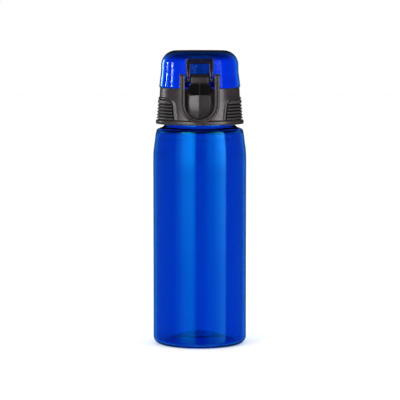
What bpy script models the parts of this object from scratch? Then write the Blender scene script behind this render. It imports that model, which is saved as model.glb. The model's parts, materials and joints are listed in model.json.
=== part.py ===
"""A sports bottle with a screw collar, a sprung flip lid, a release button and a lock bail.

Blender 4.5, metres, +Z up. The origin is the centre of the ring that the bottle stands on, the
front (button side) faces -Y, and the lid's hinge is at the back, at +Y.
"""

from math import cos, pi, radians, sin, tau

import bmesh
import bpy
from mathutils import Matrix, Vector

MM = 0.001
GAP = 0.3 * MM  # between two pieces that rest on each other
SPARE = 10.0 * MM  # how far a cutter or a trimming outline reaches past its piece

# Bottle
BODY_R = 36.5 * MM
WALL = 2.2 * MM
STAND_INNER_R = 27.0 * MM
STAND_OUTER_R = 31.0 * MM
BASE_CORNER_R = 5.5 * MM
PUSH_UP = 5.0 * MM
STRAIGHT_TOP = 146.0 * MM
SHOULDER_TOP = 168.8 * MM
NECK_R = 26.8 * MM
NECK_TOP = 190.0 * MM

# Neck thread: the cap climbs one pitch a turn
PITCH = 4.0 * MM
THREAD_TURNS = 1.25
THREAD_START = 179.0 * MM
THREAD_CREST_R = 28.1 * MM
THREAD_ROOT_HALF = 1.0 * MM
THREAD_CREST_HALF = 0.5 * MM
THREAD_BITE = 0.4 * MM  # how deep a ridge is rooted in its wall

# Inner cap and what sits on its deck
SKIRT_R = 29.75 * MM
SKIRT_BORE_R = 28.45 * MM
SKIRT_CREST_R = 27.15 * MM
SKIRT_BOTTOM = 175.0 * MM
SKIRT_TOP = 198.7 * MM
DECK_TOP = 195.3 * MM
DECK_BOTTOM = 193.3 * MM
WELL_R = 27.2 * MM
SPOUT_Y = -6.0 * MM
SPOUT_R = 8.2 * MM
SPOUT_BORE_R = 5.2 * MM
SPOUT_HOLE_R = 7.0 * MM
SPOUT_FLANGE_R = 10.0 * MM
SPOUT_TOP = 213.6 * MM
VENT_XY = (9.5 * MM, 10.0 * MM)
VENT_HOLE_R = 1.4 * MM
VENT_R = 3.2 * MM

# Collar
COLLAR_BOTTOM = 173.0 * MM
COLLAR_TOP = 201.0 * MM
COLLAR_BORE_R = 30.05 * MM
COLLAR_TOP_R = 31.1 * MM
COLLAR_FOOT_R = 32.2 * MM
FLANGE_R = 34.4 * MM
FLANGE_TOP = 176.0 * MM
CONE_FOOT = 177.0 * MM
LIP_R = 27.0 * MM
LIP_BOTTOM = 199.0 * MM
ROOT_R = 30.4 * MM  # bosses are rooted this deep in the collar's wall

# Bezel round the button, with its two ears
BEZEL_HALF = 15.4 * MM
POCKET_HALF = 11.3 * MM
BEZEL_BOTTOM = 174.6 * MM
POCKET_BOTTOM = 177.7 * MM
BEZEL_FRONT = -36.8 * MM
BEZEL_ROOT_Y = -26.0 * MM
POCKET_FLOOR = -31.1 * MM
EAR_TOP = 212.5 * MM
EAR_BACK = -30.3 * MM
EAR_ROUND = 3.2 * MM

# Grips
GRIP_BOTTOM = 177.3 * MM
GRIP_TOP = 191.8 * MM
GRIP_FOOT_R = 33.7 * MM
GRIP_HEAD_R = 32.6 * MM
GROOVES = 5
GROOVE_PITCH = 2.42 * MM
GROOVE_HALF = 0.5 * MM
GROOVE_DEPTH = 0.6 * MM
TOP_GROOVE = 188.5 * MM  # the rib above it is a wider, plain one
GRIP_FOOT_X = 20.0 * MM
GRIP_HEAD_X = 21.4 * MM
GRIP_CORNER_R = 4.0 * MM

# Lid
LID_BOTTOM = 201.3 * MM
LID_TOP = 230.2 * MM
LID_FOOT_R = 31.65 * MM
LID_WAIST_R = 30.2 * MM
LID_CORNER_R = 11.6 * MM
LID_ROOT_Y = -30.5 * MM  # how deep the catch is rooted in the lid's wall
CATCH_HALF = 5.0 * MM
CATCH_FRONT = -32.2 * MM
CATCH_BOTTOM = 202.6 * MM
CATCH_TOP = 205.0 * MM
NUB_HALF = 2.5 * MM
NUB_FRONT = -30.8 * MM
NUB_ROOT_Y = -29.3 * MM
NUB_BOTTOM = 217.2 * MM
NUB_TOP = 219.0 * MM
CARRIER_R = 11.0 * MM
CARRIER_BOTTOM = 212.0 * MM

# Hinge of the lid
HINGE = Vector((0.0, 33.5 * MM, 202.0 * MM))
KNUCKLE_R = 2.6 * MM
HINGE_RELIEF_R = 3.1 * MM
LID_KNUCKLE = (4.6 * MM, 8.6 * MM)  # from and to, on each side of the middle
COLLAR_KNUCKLE = (9.0 * MM, 14.0 * MM)
KNUCKLE_FOOT = 191.0 * MM
KNUCKLE_ROOT_Y = 27.9 * MM
HINGE_PIN_R = 1.0 * MM
HINGE_BORE_R = 1.15 * MM

# Release button
ROCKER = Vector((0.0, -33.4 * MM, 199.5 * MM))
ROCKER_PIN_R = 0.8 * MM
ROCKER_BORE_R = 0.95 * MM
BUTTON_FRONT = -36.4 * MM
BUTTON_BACK = -34.2 * MM
HEAD_HALF = 6.8 * MM
HEAD_BACK = -32.6 * MM

# Lock bail
BAIL_PIVOT = Vector((0.0, -33.8 * MM, 208.0 * MM))
BAIL_HALF = 10.4 * MM
BAIL_WINDOW_HALF = 7.1 * MM
BAIL_REACH = 16.4 * MM  # from the pivot to the bar's far edge
BAIL_BAR = 4.3 * MM
BAIL_THICK = 2.6 * MM
BAIL_EYE_R = 2.4 * MM
BAIL_LEAN = radians(5.6)  # towards the lid
BAIL_PIN_R = 0.9 * MM
BAIL_BORE_R = 1.05 * MM
BLIND_BORE = BEZEL_HALF - 1.1 * MM  # the bezel's bores stop short of its outer sides

# How finely round shapes are faceted
FINE = 48
MEDIUM = 32
COARSE = 20
THREAD_STEPS = 40

# An outline drawn as (x, z) and extruded along Y, and one drawn as (y, z) and extruded along X
FRONT_VIEW = Matrix.Rotation(pi / 2, 4, "X")
SIDE_VIEW = Matrix.Rotation(pi / 2, 4, "Z") @ Matrix.Rotation(pi / 2, 4, "X")


# Scene, collections and materials


def clear_scene():
    for obj in list(bpy.data.objects):
        bpy.data.objects.remove(obj, do_unlink=True)


def new_collection(name):
    collection = bpy.data.collections.new(name)
    bpy.context.scene.collection.children.link(collection)
    return collection


def make_material(name, colour, roughness, metallic=0.0, transmission=0.0):
    material = bpy.data.materials.new(name)
    material.use_nodes = True
    shader = material.node_tree.nodes["Principled BSDF"]
    shader.inputs["Base Color"].default_value = (*colour, 1.0)
    shader.inputs["Roughness"].default_value = roughness
    shader.inputs["Metallic"].default_value = metallic
    shader.inputs["Transmission Weight"].default_value = transmission
    material.diffuse_color = (*colour, 1.0)
    return material


# Outlines


def arc(centre, radius, start, end, steps):
    """Points on an arc, both ends included. Angles in degrees, counted from the first axis."""
    angles = [radians(start + (end - start) * i / steps) for i in range(steps + 1)]
    return [(centre[0] + radius * cos(a), centre[1] + radius * sin(a)) for a in angles]


def mirrored(half):
    """A closed outline from its right half, which runs from the top down to the middle line."""
    left = [(-x, z) for x, z in reversed(half) if x > 0]
    return half + left


def u_outline(half_width, bottom, top):
    """A U: straight sides down to a half round bottom."""
    centre = (0.0, bottom + half_width)
    return [(-half_width, top), *arc(centre, half_width, 180, 360, 28), (half_width, top)]


# Solids


def link(name, data, material=None):
    obj = bpy.data.objects.new(name, data)
    PARTS.objects.link(obj)
    if material:
        data.materials.append(material)
    return obj


def shade_round(mesh, angle=35):
    mesh.shade_smooth()
    mesh.set_sharp_from_angle(angle=radians(angle))


def turned(name, profile, steps, material=None, at=(0, 0, 0), closed=True):
    """A profile of (radius, height) turned round Z. It runs down the outside first."""
    mesh = bpy.data.meshes.new(name)
    edges = [(i, i + 1) for i in range(len(profile) - 1)]
    if closed:
        edges.append((len(profile) - 1, 0))
    mesh.from_pydata([(r, 0.0, z) for r, z in profile], edges, [])
    obj = link(name, mesh, material)
    obj.location = at
    screw = obj.modifiers.new("Turn", "SCREW")
    screw.axis = "Z"
    screw.steps = steps
    screw.render_steps = steps
    screw.use_merge_vertices = True
    screw.merge_threshold = 0.01 * MM
    weld = obj.modifiers.new("Close the axis", "WELD")
    weld.merge_threshold = 0.01 * MM
    return obj


def cylinder(name, radius, start, end, steps=COARSE, material=None):
    """A round bar between two points."""
    start, end = Vector(start), Vector(end)
    mesh = bpy.data.meshes.new(name)
    shape = bmesh.new()
    bmesh.ops.create_cone(
        shape,
        cap_ends=True,
        segments=steps,
        radius1=radius,
        radius2=radius,
        depth=(end - start).length,
    )
    shape.to_mesh(mesh)
    shape.free()
    shade_round(mesh)
    obj = link(name, mesh, material)
    obj.location = (start + end) / 2
    obj.rotation_euler = (end - start).to_track_quat("Z", "Y").to_euler()
    return obj


def box(name, low, high):
    """A block from its lowest to its highest corner."""
    low, high = Vector(low), Vector(high)
    mesh = bpy.data.meshes.new(name)
    shape = bmesh.new()
    bmesh.ops.create_cube(shape, size=1.0, matrix=Matrix.Diagonal((*(high - low), 1.0)))
    shape.to_mesh(mesh)
    shape.free()
    obj = link(name, mesh)
    obj.location = (low + high) / 2
    return obj


def as_mesh(curve_object):
    """The curve's evaluated shape as a mesh object in its place, with its caps welded on."""
    bpy.context.view_layer.update()
    evaluated = curve_object.evaluated_get(bpy.context.evaluated_depsgraph_get())
    mesh = bpy.data.meshes.new_from_object(evaluated)
    shape = bmesh.new()
    shape.from_mesh(mesh)
    bmesh.ops.remove_doubles(shape, verts=shape.verts, dist=0.001 * MM)
    shape.to_mesh(mesh)
    shape.free()
    name, place = curve_object.name, curve_object.matrix_world.copy()
    bpy.data.objects.remove(curve_object, do_unlink=True)
    obj = link(name, mesh)
    obj.matrix_world = place
    return obj


def plate(name, outline, view, start, end, material=None):
    """An outline extruded along its view's axis, from start to end on that axis."""
    curve = bpy.data.curves.new(name, "CURVE")
    curve.dimensions = "2D"
    curve.fill_mode = "BOTH"
    curve.extrude = (end - start) / 2
    spline = curve.splines.new("POLY")
    spline.points.add(len(outline) - 1)
    for point, (a, b) in zip(spline.points, outline):
        point.co = (a, b, 0.0, 1.0)
    spline.use_cyclic_u = True
    obj = link(name, curve)
    along = view.to_3x3() @ Vector((0, 0, 1))
    middle = (start + end) / 2
    if view == FRONT_VIEW:
        middle = -middle  # its axis points along -Y
    obj.matrix_world = Matrix.Translation(along * middle) @ view
    made = as_mesh(obj)
    if material:
        made.data.materials.append(material)
    shade_round(made.data)
    return made


def wire(name, points, radius, material):
    """A round wire through the points."""
    curve = bpy.data.curves.new(name, "CURVE")
    curve.dimensions = "3D"
    curve.bevel_depth = radius
    curve.bevel_resolution = 2
    curve.use_fill_caps = True
    spline = curve.splines.new("POLY")
    spline.points.add(len(points) - 1)
    for point, place in zip(spline.points, points):
        point.co = (*place, 1.0)
    obj = as_mesh(link(name, curve))
    obj.data.materials.append(material)
    shade_round(obj.data)
    return obj


def thread_ridge(name, root_r, crest_r, start_z):
    """A helical ridge of trapezoid section that fades out at both ends."""
    outward = 1 if crest_r > root_r else -1
    steps = round(THREAD_STEPS * THREAD_TURNS)
    fade = THREAD_STEPS // 10
    shape = bmesh.new()
    rings = []
    for i in range(steps + 1):
        turn = i / THREAD_STEPS
        full = min(1.0, (i + 1) / fade, (steps - i + 1) / fade)
        crest = root_r + (crest_r - root_r) * full
        root = root_r - outward * THREAD_BITE
        z = start_z + PITCH * turn
        section = [
            (root, z - THREAD_ROOT_HALF),
            (crest, z - THREAD_CREST_HALF),
            (crest, z + THREAD_CREST_HALF),
            (root, z + THREAD_ROOT_HALF),
        ]
        angle = tau * turn
        rings.append([shape.verts.new((r * cos(angle), r * sin(angle), h)) for r, h in section])
    for ring, following in zip(rings, rings[1:]):
        for k in range(4):
            shape.faces.new((ring[k], ring[k - 1], following[k - 1], following[k]))
    shape.faces.new(rings[0])
    shape.faces.new(reversed(rings[-1]))
    bmesh.ops.recalc_face_normals(shape, faces=shape.faces)
    mesh = bpy.data.meshes.new(name)
    shape.to_mesh(mesh)
    shape.free()
    return link(name, mesh)


def combine(target, other, operation):
    """Adds a Boolean modifier, and puts the other shape away among the cutters."""
    modifier = target.modifiers.new(f"{operation.title()} {other.name}", "BOOLEAN")
    modifier.operation = operation
    modifier.object = other
    modifier.solver = "EXACT"
    if other.name in PARTS.objects:
        PARTS.objects.unlink(other)
        CUTTERS.objects.link(other)
    other.hide_render = True
    other.display_type = "WIRE"


def join(target, *others):
    for other in others:
        combine(target, other, "UNION")


def cut(target, *others):
    for other in others:
        combine(target, other, "DIFFERENCE")


def keep_within(target, other):
    combine(target, other, "INTERSECT")


def pivot(name, place, parent=None):
    """An empty on a joint's axis."""
    empty = link(name, None)
    empty.empty_display_size = 10 * MM
    empty.location = place
    bpy.context.view_layer.update()
    if parent:
        hang(parent, empty)
    return empty


def hang(parent, *children):
    """Parents the children without moving them."""
    bpy.context.view_layer.update()
    for child in children:
        child.parent = parent
        child.matrix_parent_inverse = parent.matrix_world.inverted()


# The bottle


def body_profile():
    """From the middle of the inside, up the inner wall, over the lip, and down the outside."""
    inner_r = BODY_R - WALL
    floor = [
        (0.0, PUSH_UP + WALL),
        (STAND_INNER_R - 12.0 * MM, PUSH_UP + WALL),
        (STAND_INNER_R - 3.0 * MM, 3.4 * MM),
        (STAND_OUTER_R, WALL),
    ]
    inner_wall = [
        (inner_r, 5.5 * MM),
        (inner_r, STRAIGHT_TOP),
        (33.9 * MM, 153.0 * MM),
        (33.1 * MM, 159.0 * MM),
        (32.4 * MM, 164.4 * MM),
        (30.6 * MM, 166.8 * MM),
        (27.0 * MM, 168.2 * MM),
        (24.6 * MM, 171.0 * MM),
    ]
    lip = [
        (NECK_R - WALL, NECK_TOP - 0.6 * MM),
        (NECK_R - WALL + 0.6 * MM, NECK_TOP),
        (NECK_R - 0.6 * MM, NECK_TOP),
    ]
    neck = [
        (NECK_R, NECK_TOP - 0.6 * MM),
        (NECK_R, 174.2 * MM),
        (27.7 * MM, 173.0 * MM),
        (27.7 * MM, 172.0 * MM),
        (29.4 * MM, 170.3 * MM),
    ]
    crown = [(32.4 * MM, SHOULDER_TOP + 0.4 * MM), *arc((31.9 * MM, 166.6 * MM), 2.4 * MM, 60, 0, 4)]
    shoulder = [
        (34.9 * MM, 162.5 * MM),
        (35.3 * MM, 159.0 * MM),
        (36.1 * MM, 153.0 * MM),
        (BODY_R, STRAIGHT_TOP),
    ]
    corner = arc((STAND_OUTER_R, BASE_CORNER_R), BASE_CORNER_R, 0, -90, 6)
    base = [
        (STAND_INNER_R, 0.0),
        (STAND_INNER_R - 3.0 * MM, 1.2 * MM),
        (STAND_INNER_R - 12.0 * MM, PUSH_UP),
        (0.0, PUSH_UP),
    ]
    return [*floor, *inner_wall, *lip, *neck, *crown, *shoulder, *corner, *base]


def make_bottle(material):
    body = turned("bottle_body", body_profile(), FINE, material, closed=False)
    join(body, thread_ridge("neck_thread", NECK_R, THREAD_CREST_R, THREAD_START))


# The cap: what closes the neck


def make_gasket(material):
    top, bottom = DECK_BOTTOM - GAP, NECK_TOP + GAP
    inner, outer = NECK_R - WALL + GAP, SKIRT_BORE_R - GAP
    profile = [(inner, top), (outer, top), (outer, bottom), (inner, bottom)]
    turned("neck_gasket", profile, FINE, material)


def make_inner_cap(material):
    profile = [
        (0.0, DECK_TOP),
        (WELL_R, DECK_TOP),
        (WELL_R, SKIRT_TOP - 0.5 * MM),
        (WELL_R + 0.5 * MM, SKIRT_TOP),
        (SKIRT_R, SKIRT_TOP),
        (SKIRT_R, SKIRT_BOTTOM),
        (SKIRT_BORE_R, SKIRT_BOTTOM),
        (SKIRT_BORE_R, DECK_BOTTOM),
        (0.0, DECK_BOTTOM),
    ]
    cap = turned("inner_cap", profile, FINE, material, closed=False)
    # This ridge lies half a pitch below the neck's, and pulls the cap down against it
    join(cap, thread_ridge("cap_thread", SKIRT_BORE_R, SKIRT_CREST_R, THREAD_START - PITCH / 2))
    above, below = DECK_TOP + SPARE, DECK_BOTTOM - SPARE
    spout_hole = cylinder(
        "spout_hole", SPOUT_HOLE_R, (0, SPOUT_Y, below), (0, SPOUT_Y, above), MEDIUM
    )
    vent_hole = cylinder("vent_hole", VENT_HOLE_R, (*VENT_XY, below), (*VENT_XY, above))
    cut(cap, spout_hole, vent_hole)


def make_spout(material):
    """A tube with a rounded lip, a flange on the deck, and a snap bead below it."""
    seat = DECK_TOP + GAP
    under = DECK_BOTTOM - GAP
    end = under - 1.6 * MM
    tube_r = SPOUT_HOLE_R - GAP
    lip = 1.0 * MM
    profile = [
        (SPOUT_BORE_R + lip, SPOUT_TOP),
        (SPOUT_R - lip, SPOUT_TOP),
        (SPOUT_R, SPOUT_TOP - lip),
        (SPOUT_R, seat + 1.6 * MM),
        (SPOUT_FLANGE_R, seat + 1.2 * MM),
        (SPOUT_FLANGE_R, seat),
        (tube_r, seat),
        (tube_r, under),
        (SPOUT_HOLE_R + 0.4 * MM, under - 0.3 * MM),
        (tube_r, end),
        (SPOUT_BORE_R, end),
        (SPOUT_BORE_R, SPOUT_TOP - lip),
    ]
    turned("drink_spout", profile, MEDIUM, material, at=(0, SPOUT_Y, 0))


def make_vent_valve(material):
    """A domed disc on the deck, with a stem and an arrow head below it."""
    seat = DECK_TOP + GAP
    under = DECK_BOTTOM - GAP
    tip = under - 1.8 * MM
    stem_r = VENT_HOLE_R - GAP
    profile = [
        (0.0, seat + 1.2 * MM),
        (VENT_R - 1.0 * MM, seat + 1.0 * MM),
        (VENT_R, seat + 0.4 * MM),
        (VENT_R, seat),
        (stem_r, seat),
        (stem_r, under),
        (VENT_HOLE_R + 0.3 * MM, under - 0.2 * MM),
        (VENT_HOLE_R / 2, tip),
        (0.0, tip),
    ]
    turned("vent_valve", profile, COARSE, material, at=(*VENT_XY, 0), closed=False)


# The collar, its bezel, its half of the hinge, and its grips


def collar_radius(z):
    """The collar's cone, without its grips and flange."""
    share = (z - CONE_FOOT) / (COLLAR_TOP - CONE_FOOT)
    return COLLAR_FOOT_R + (COLLAR_TOP_R - COLLAR_FOOT_R) * share


def collar_profile():
    edge = 0.4 * MM
    return [
        (LIP_R, COLLAR_TOP),
        (COLLAR_TOP_R - edge, COLLAR_TOP),
        (COLLAR_TOP_R, COLLAR_TOP - edge),
        (COLLAR_FOOT_R, CONE_FOOT),
        ((COLLAR_FOOT_R + FLANGE_R) / 2, FLANGE_TOP + edge),
        (FLANGE_R - edge, FLANGE_TOP),
        (FLANGE_R, FLANGE_TOP - edge),
        (FLANGE_R, COLLAR_BOTTOM + edge),
        (FLANGE_R - edge, COLLAR_BOTTOM),
        (COLLAR_BORE_R, COLLAR_BOTTOM),
        (COLLAR_BORE_R, LIP_BOTTOM),
        (LIP_R, LIP_BOTTOM),
    ]


def bezel_side():
    """The bezel and an ear from the side, as (y, z)."""
    crest = arc((BEZEL_FRONT + EAR_ROUND, EAR_TOP - EAR_ROUND), EAR_ROUND, 180, 90, 6)
    foot = BEZEL_BOTTOM - 1.0 * MM
    return [
        (BEZEL_ROOT_Y, foot),
        (BEZEL_FRONT + 1.2 * MM, foot),
        (BEZEL_FRONT, BEZEL_BOTTOM + 4.0 * MM),
        *crest,
        (EAR_BACK, EAR_TOP),
        (EAR_BACK, COLLAR_TOP - GAP),
        (BEZEL_ROOT_Y, COLLAR_TOP - GAP),
    ]


def bore_cutter(name):
    """Takes a boss back from the collar's bore, so that it is rooted inside the wall."""
    inside_lip = (LIP_BOTTOM + COLLAR_TOP) / 2
    return cylinder(name, ROOT_R, (0, 0, COLLAR_BOTTOM - SPARE), (0, 0, inside_lip), FINE)


def make_bezel():
    width = BEZEL_HALF + SPARE
    bezel = plate(
        "bezel",
        u_outline(BEZEL_HALF, BEZEL_BOTTOM, EAR_TOP + SPARE),
        FRONT_VIEW,
        BEZEL_FRONT - SPARE,
        BEZEL_ROOT_Y + SPARE,
    )
    keep_within(bezel, plate("bezel_side", bezel_side(), SIDE_VIEW, -width, width))
    opening = plate(
        "bezel_opening",
        u_outline(POCKET_HALF, POCKET_BOTTOM, EAR_TOP + 2 * SPARE),
        FRONT_VIEW,
        BEZEL_FRONT - 2 * SPARE,
        BEZEL_ROOT_Y + 2 * SPARE,
    )
    cut(bezel, opening, bore_cutter("bezel_root"))
    return bezel


def knuckle_support():
    """The collar's half of the hinge from the side, as (y, z): a gusset with a round end."""
    centre = (HINGE.y, HINGE.z)
    return [
        (KNUCKLE_ROOT_Y, KNUCKLE_FOOT),
        (31.6 * MM, KNUCKLE_FOOT),
        (35.6 * MM, 198.6 * MM),
        *arc(centre, KNUCKLE_R, -25, 180, 12),
        (HINGE.y - KNUCKLE_R, COLLAR_TOP - GAP),
        (KNUCKLE_ROOT_Y, COLLAR_TOP - GAP),
    ]


def make_collar_knuckle(side):
    near, far = COLLAR_KNUCKLE
    start, end = (near, far) if side > 0 else (-far, -near)
    tag = "right" if side > 0 else "left"
    knuckle = plate(f"collar_knuckle_{tag}", knuckle_support(), SIDE_VIEW, start, end)
    cut(knuckle, bore_cutter(f"knuckle_root_{tag}"))
    return knuckle


def cross_bore(name, place, radius, half_length):
    """A bore along X through a place on the middle plane."""
    reach = Vector((half_length, 0, 0))
    return cylinder(name, radius, place - reach, place + reach)


def make_collar(material):
    collar = turned("collar", collar_profile(), FINE, material)
    pocket = plate(
        "button_pocket",
        u_outline(POCKET_HALF, POCKET_BOTTOM, EAR_TOP + SPARE),
        FRONT_VIEW,
        BEZEL_FRONT - SPARE,
        POCKET_FLOOR,
    )
    relief_half = COLLAR_KNUCKLE[0] - 0.1 * MM
    relief = cross_bore("hinge_relief", HINGE, HINGE_RELIEF_R, relief_half)
    cut(collar, pocket, relief)
    join(collar, make_bezel(), make_collar_knuckle(1), make_collar_knuckle(-1))
    cut(
        collar,
        cross_bore("hinge_bore", HINGE, HINGE_BORE_R, COLLAR_KNUCKLE[1] + SPARE),
        cross_bore("rocker_bore", ROCKER, ROCKER_BORE_R, BLIND_BORE),
        cross_bore("bail_bore", BAIL_PIVOT, BAIL_BORE_R, BLIND_BORE),
    )


def grip_radius(height):
    share = (height - GRIP_BOTTOM) / (GRIP_TOP - GRIP_BOTTOM)
    return GRIP_FOOT_R + (GRIP_HEAD_R - GRIP_FOOT_R) * share


def grip_profile():
    """A ribbed sleeve on the collar's cone."""
    outside = [(GRIP_HEAD_R, GRIP_TOP)]
    for i in range(GROOVES):
        middle = TOP_GROOVE - GROOVE_PITCH * i
        root = grip_radius(middle) - GROOVE_DEPTH
        high, low = middle + GROOVE_HALF, middle - GROOVE_HALF
        outside += [
            (grip_radius(high), high),
            (root, middle + GROOVE_HALF / 2),
            (root, middle - GROOVE_HALF / 2),
            (grip_radius(low), low),
        ]
    outside.append((GRIP_FOOT_R, GRIP_BOTTOM))
    inside = [
        (collar_radius(GRIP_BOTTOM) + GAP, GRIP_BOTTOM),
        (collar_radius(GRIP_TOP) + GAP, GRIP_TOP),
    ]
    return outside + inside


def grip_outline(side):
    """The grip from the front: its inner edge slants and ends in a rounded corner."""
    far = GRIP_FOOT_R + SPARE
    corner = arc(
        (GRIP_HEAD_X + GRIP_CORNER_R, GRIP_TOP - GRIP_CORNER_R), GRIP_CORNER_R, 180, 90, 6
    )
    points = [
        (far, GRIP_BOTTOM - GAP),
        (GRIP_FOOT_X, GRIP_BOTTOM - GAP),
        *corner,
        (far, GRIP_TOP),
    ]
    return [(side * x, z) for x, z in points]


def make_grip(name, side, material):
    grip = turned(name, grip_profile(), FINE, material)
    around = GRIP_FOOT_R + SPARE
    outline = plate(f"{name}_outline", grip_outline(side), FRONT_VIEW, -around, around)
    keep_within(grip, outline)


# The lid


def lid_profile():
    corner_z = LID_TOP - LID_CORNER_R
    corner_r = LID_WAIST_R - LID_CORNER_R
    skirt = [(30.6 * MM, 211.0 * MM), (31.25 * MM, 206.5 * MM), (LID_FOOT_R, 202.2 * MM)]
    return [
        (0.0, LID_TOP),
        *arc((corner_r, corner_z), LID_CORNER_R, 90, 0, 10),
        *skirt,
        (LID_FOOT_R, LID_BOTTOM),
        (LID_FOOT_R - WALL, LID_BOTTOM),
        *[(r - WALL, z) for r, z in reversed(skirt)],
        *arc((corner_r, corner_z), LID_CORNER_R - WALL, 0, 90, 8),
        (0.0, LID_TOP - WALL),
    ]


def lid_knuckle_outline():
    """The lid's half of the hinge from the side, as (y, z)."""
    centre = (HINGE.y, HINGE.z)
    return [
        (29.2 * MM, 210.0 * MM),
        (29.6 * MM, 202.6 * MM),
        *arc(centre, KNUCKLE_R, 180, 410, 14),
    ]


def make_lid(material):
    lid = turned("lid_dome", lid_profile(), FINE, material, closed=False)
    near, far = LID_KNUCKLE
    outline = lid_knuckle_outline()
    join(
        lid,
        plate("lid_knuckle_right", outline, SIDE_VIEW, near, far),
        plate("lid_knuckle_left", outline, SIDE_VIEW, -far, -near),
        box(
            "lid_catch",
            (-CATCH_HALF, CATCH_FRONT, CATCH_BOTTOM),
            (CATCH_HALF, LID_ROOT_Y, CATCH_TOP),
        ),
        box(
            "bail_nub",
            (-NUB_HALF, NUB_FRONT, NUB_BOTTOM),
            (NUB_HALF, NUB_ROOT_Y, NUB_TOP),
        ),
    )
    cut(
        lid,
        cross_bore("lid_hinge_bore", HINGE, HINGE_BORE_R, far + SPARE),
        cross_bore("spring_relief", HINGE, KNUCKLE_R, near - 0.2 * MM),
    )


def make_carrier(material):
    top = LID_TOP - WALL - 0.4 * MM
    floor = top - 2.8 * MM
    wall = 1.4 * MM
    profile = [
        (0.0, top),
        (CARRIER_R, top),
        (CARRIER_R, CARRIER_BOTTOM),
        (CARRIER_R - wall, CARRIER_BOTTOM),
        (CARRIER_R - wall, floor),
        (0.0, floor),
    ]
    turned("seal_carrier", profile, MEDIUM, material, at=(0, SPOUT_Y, 0), closed=False)


def make_seal(material):
    """A stem in the carrier, a pad on the spout's rim, and a plug in its bore."""
    face = SPOUT_TOP + GAP
    stem_top = 224.3 * MM
    stem_r, pad_r, plug_r = 5.0 * MM, 9.2 * MM, 4.7 * MM
    plug_end = face - 2.2 * MM
    profile = [
        (0.0, stem_top),
        (stem_r, stem_top),
        (stem_r, face + 3.4 * MM),
        (pad_r, face + 3.0 * MM),
        (pad_r, face),
        (plug_r, face),
        (plug_r - 0.5 * MM, plug_end),
        (0.0, plug_end),
    ]
    turned("spout_seal", profile, MEDIUM, material, at=(0, SPOUT_Y, 0), closed=False)


# Springs and pins


def make_hinge_pin(material):
    half = COLLAR_KNUCKLE[1] - 0.2 * MM
    start = HINGE - Vector((half, 0, 0))
    end = HINGE + Vector((half, 0, 0))
    cylinder("hinge_pin", HINGE_PIN_R, start, end, COARSE, material)


def make_lid_spring(material):
    """A coil round the hinge pin, with one leg on the collar and one on the lid."""
    coil_r, radius, half = 1.8 * MM, 0.32 * MM, 3.6 * MM
    turns, steps = 5, 12
    count = turns * steps
    coil = []
    for i in range(count + 1):
        angle = tau * i / steps
        x = -half + 2 * half * i / count
        coil.append(HINGE + Vector((x, coil_r * cos(angle), coil_r * sin(angle))))
    # Each leg leaves the coil at its rearmost point, along the coil's tangent
    collar_leg = Vector((-half, HINGE.y + coil_r, 195.5 * MM))
    lid_leg = Vector((half, HINGE.y + coil_r, 208.5 * MM))
    wire("lid_spring", [collar_leg, *coil, lid_leg], radius, material)


def make_button_spring(material):
    """A small compression coil between the collar and the back of the button."""
    coil_r, radius = 2.6 * MM, 0.25 * MM
    turns, steps = 3, 12
    start = POCKET_FLOOR - GAP - radius
    end = BUTTON_BACK + GAP + radius
    height = 186.0 * MM
    count = turns * steps
    points = []
    for i in range(count + 1):
        angle = tau * i / steps
        y = start + (end - start) * i / count
        points.append(Vector((coil_r * cos(angle), y, height + coil_r * sin(angle))))
    wire("button_spring", points, radius, material)


def make_rocker_pin(material):
    half = BLIND_BORE - GAP
    start = ROCKER - Vector((half, 0, 0))
    end = ROCKER + Vector((half, 0, 0))
    cylinder("button_pin", ROCKER_PIN_R, start, end, COARSE, material)


def make_bail_pin(name, side, material):
    inner, outer = BAIL_WINDOW_HALF + GAP, BLIND_BORE - GAP
    start = BAIL_PIVOT + Vector((side * inner, 0, 0))
    end = BAIL_PIVOT + Vector((side * outer, 0, 0))
    cylinder(name, BAIL_PIN_R, start, end, COARSE, material)


# The button and the bail


def button_front_outline():
    """Head, block, and the petal that is pressed, from the front."""
    half = [
        (HEAD_HALF, 212.4 * MM),
        (HEAD_HALF, 204.4 * MM),
        (8.9 * MM, 203.0 * MM),
        (9.3 * MM, 201.0 * MM),
        (8.1 * MM, 196.2 * MM),
        (8.7 * MM, 192.5 * MM),
        (8.4 * MM, 187.0 * MM),
        (7.2 * MM, 183.0 * MM),
        (5.0 * MM, 180.0 * MM),
        (2.4 * MM, 178.5 * MM),
        (0.0, 178.3 * MM),
    ]
    return mirrored(half)


def button_side_outline():
    """The button from the side, as (y, z). A notch in its back, under the head, takes the catch."""
    notch = HEAD_BACK - 0.8 * MM
    front = [
        (-36.0 * MM, 212.0 * MM),
        (-36.2 * MM, 205.4 * MM),
        (-34.9 * MM, 204.6 * MM),
        (-34.9 * MM, 197.0 * MM),
        (BUTTON_FRONT, 196.0 * MM),
        (BUTTON_FRONT - 0.2 * MM, 189.0 * MM),
        (BUTTON_FRONT + 0.4 * MM, 181.0 * MM),
        (BUTTON_FRONT + 1.0 * MM, 177.0 * MM),
    ]
    back = [
        (BUTTON_BACK, 177.0 * MM),
        (BUTTON_BACK, 193.4 * MM),
        (-31.9 * MM, 196.2 * MM),
        (-31.9 * MM, 200.6 * MM),
        (notch, 201.8 * MM),
        (notch, 205.4 * MM),
        (HEAD_BACK, 205.8 * MM),
        (HEAD_BACK, 213.0 * MM),
        (-35.4 * MM, 213.0 * MM),
    ]
    return front + back


def make_button(material):
    button = plate(
        "release_button",
        button_front_outline(),
        FRONT_VIEW,
        BEZEL_FRONT - SPARE,
        HEAD_BACK + SPARE,
        material,
    )
    reach = POCKET_HALF + SPARE
    keep_within(button, plate("button_side", button_side_outline(), SIDE_VIEW, -reach, reach))
    cut(button, cross_bore("button_bore", ROCKER, ROCKER_BORE_R, reach))


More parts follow.
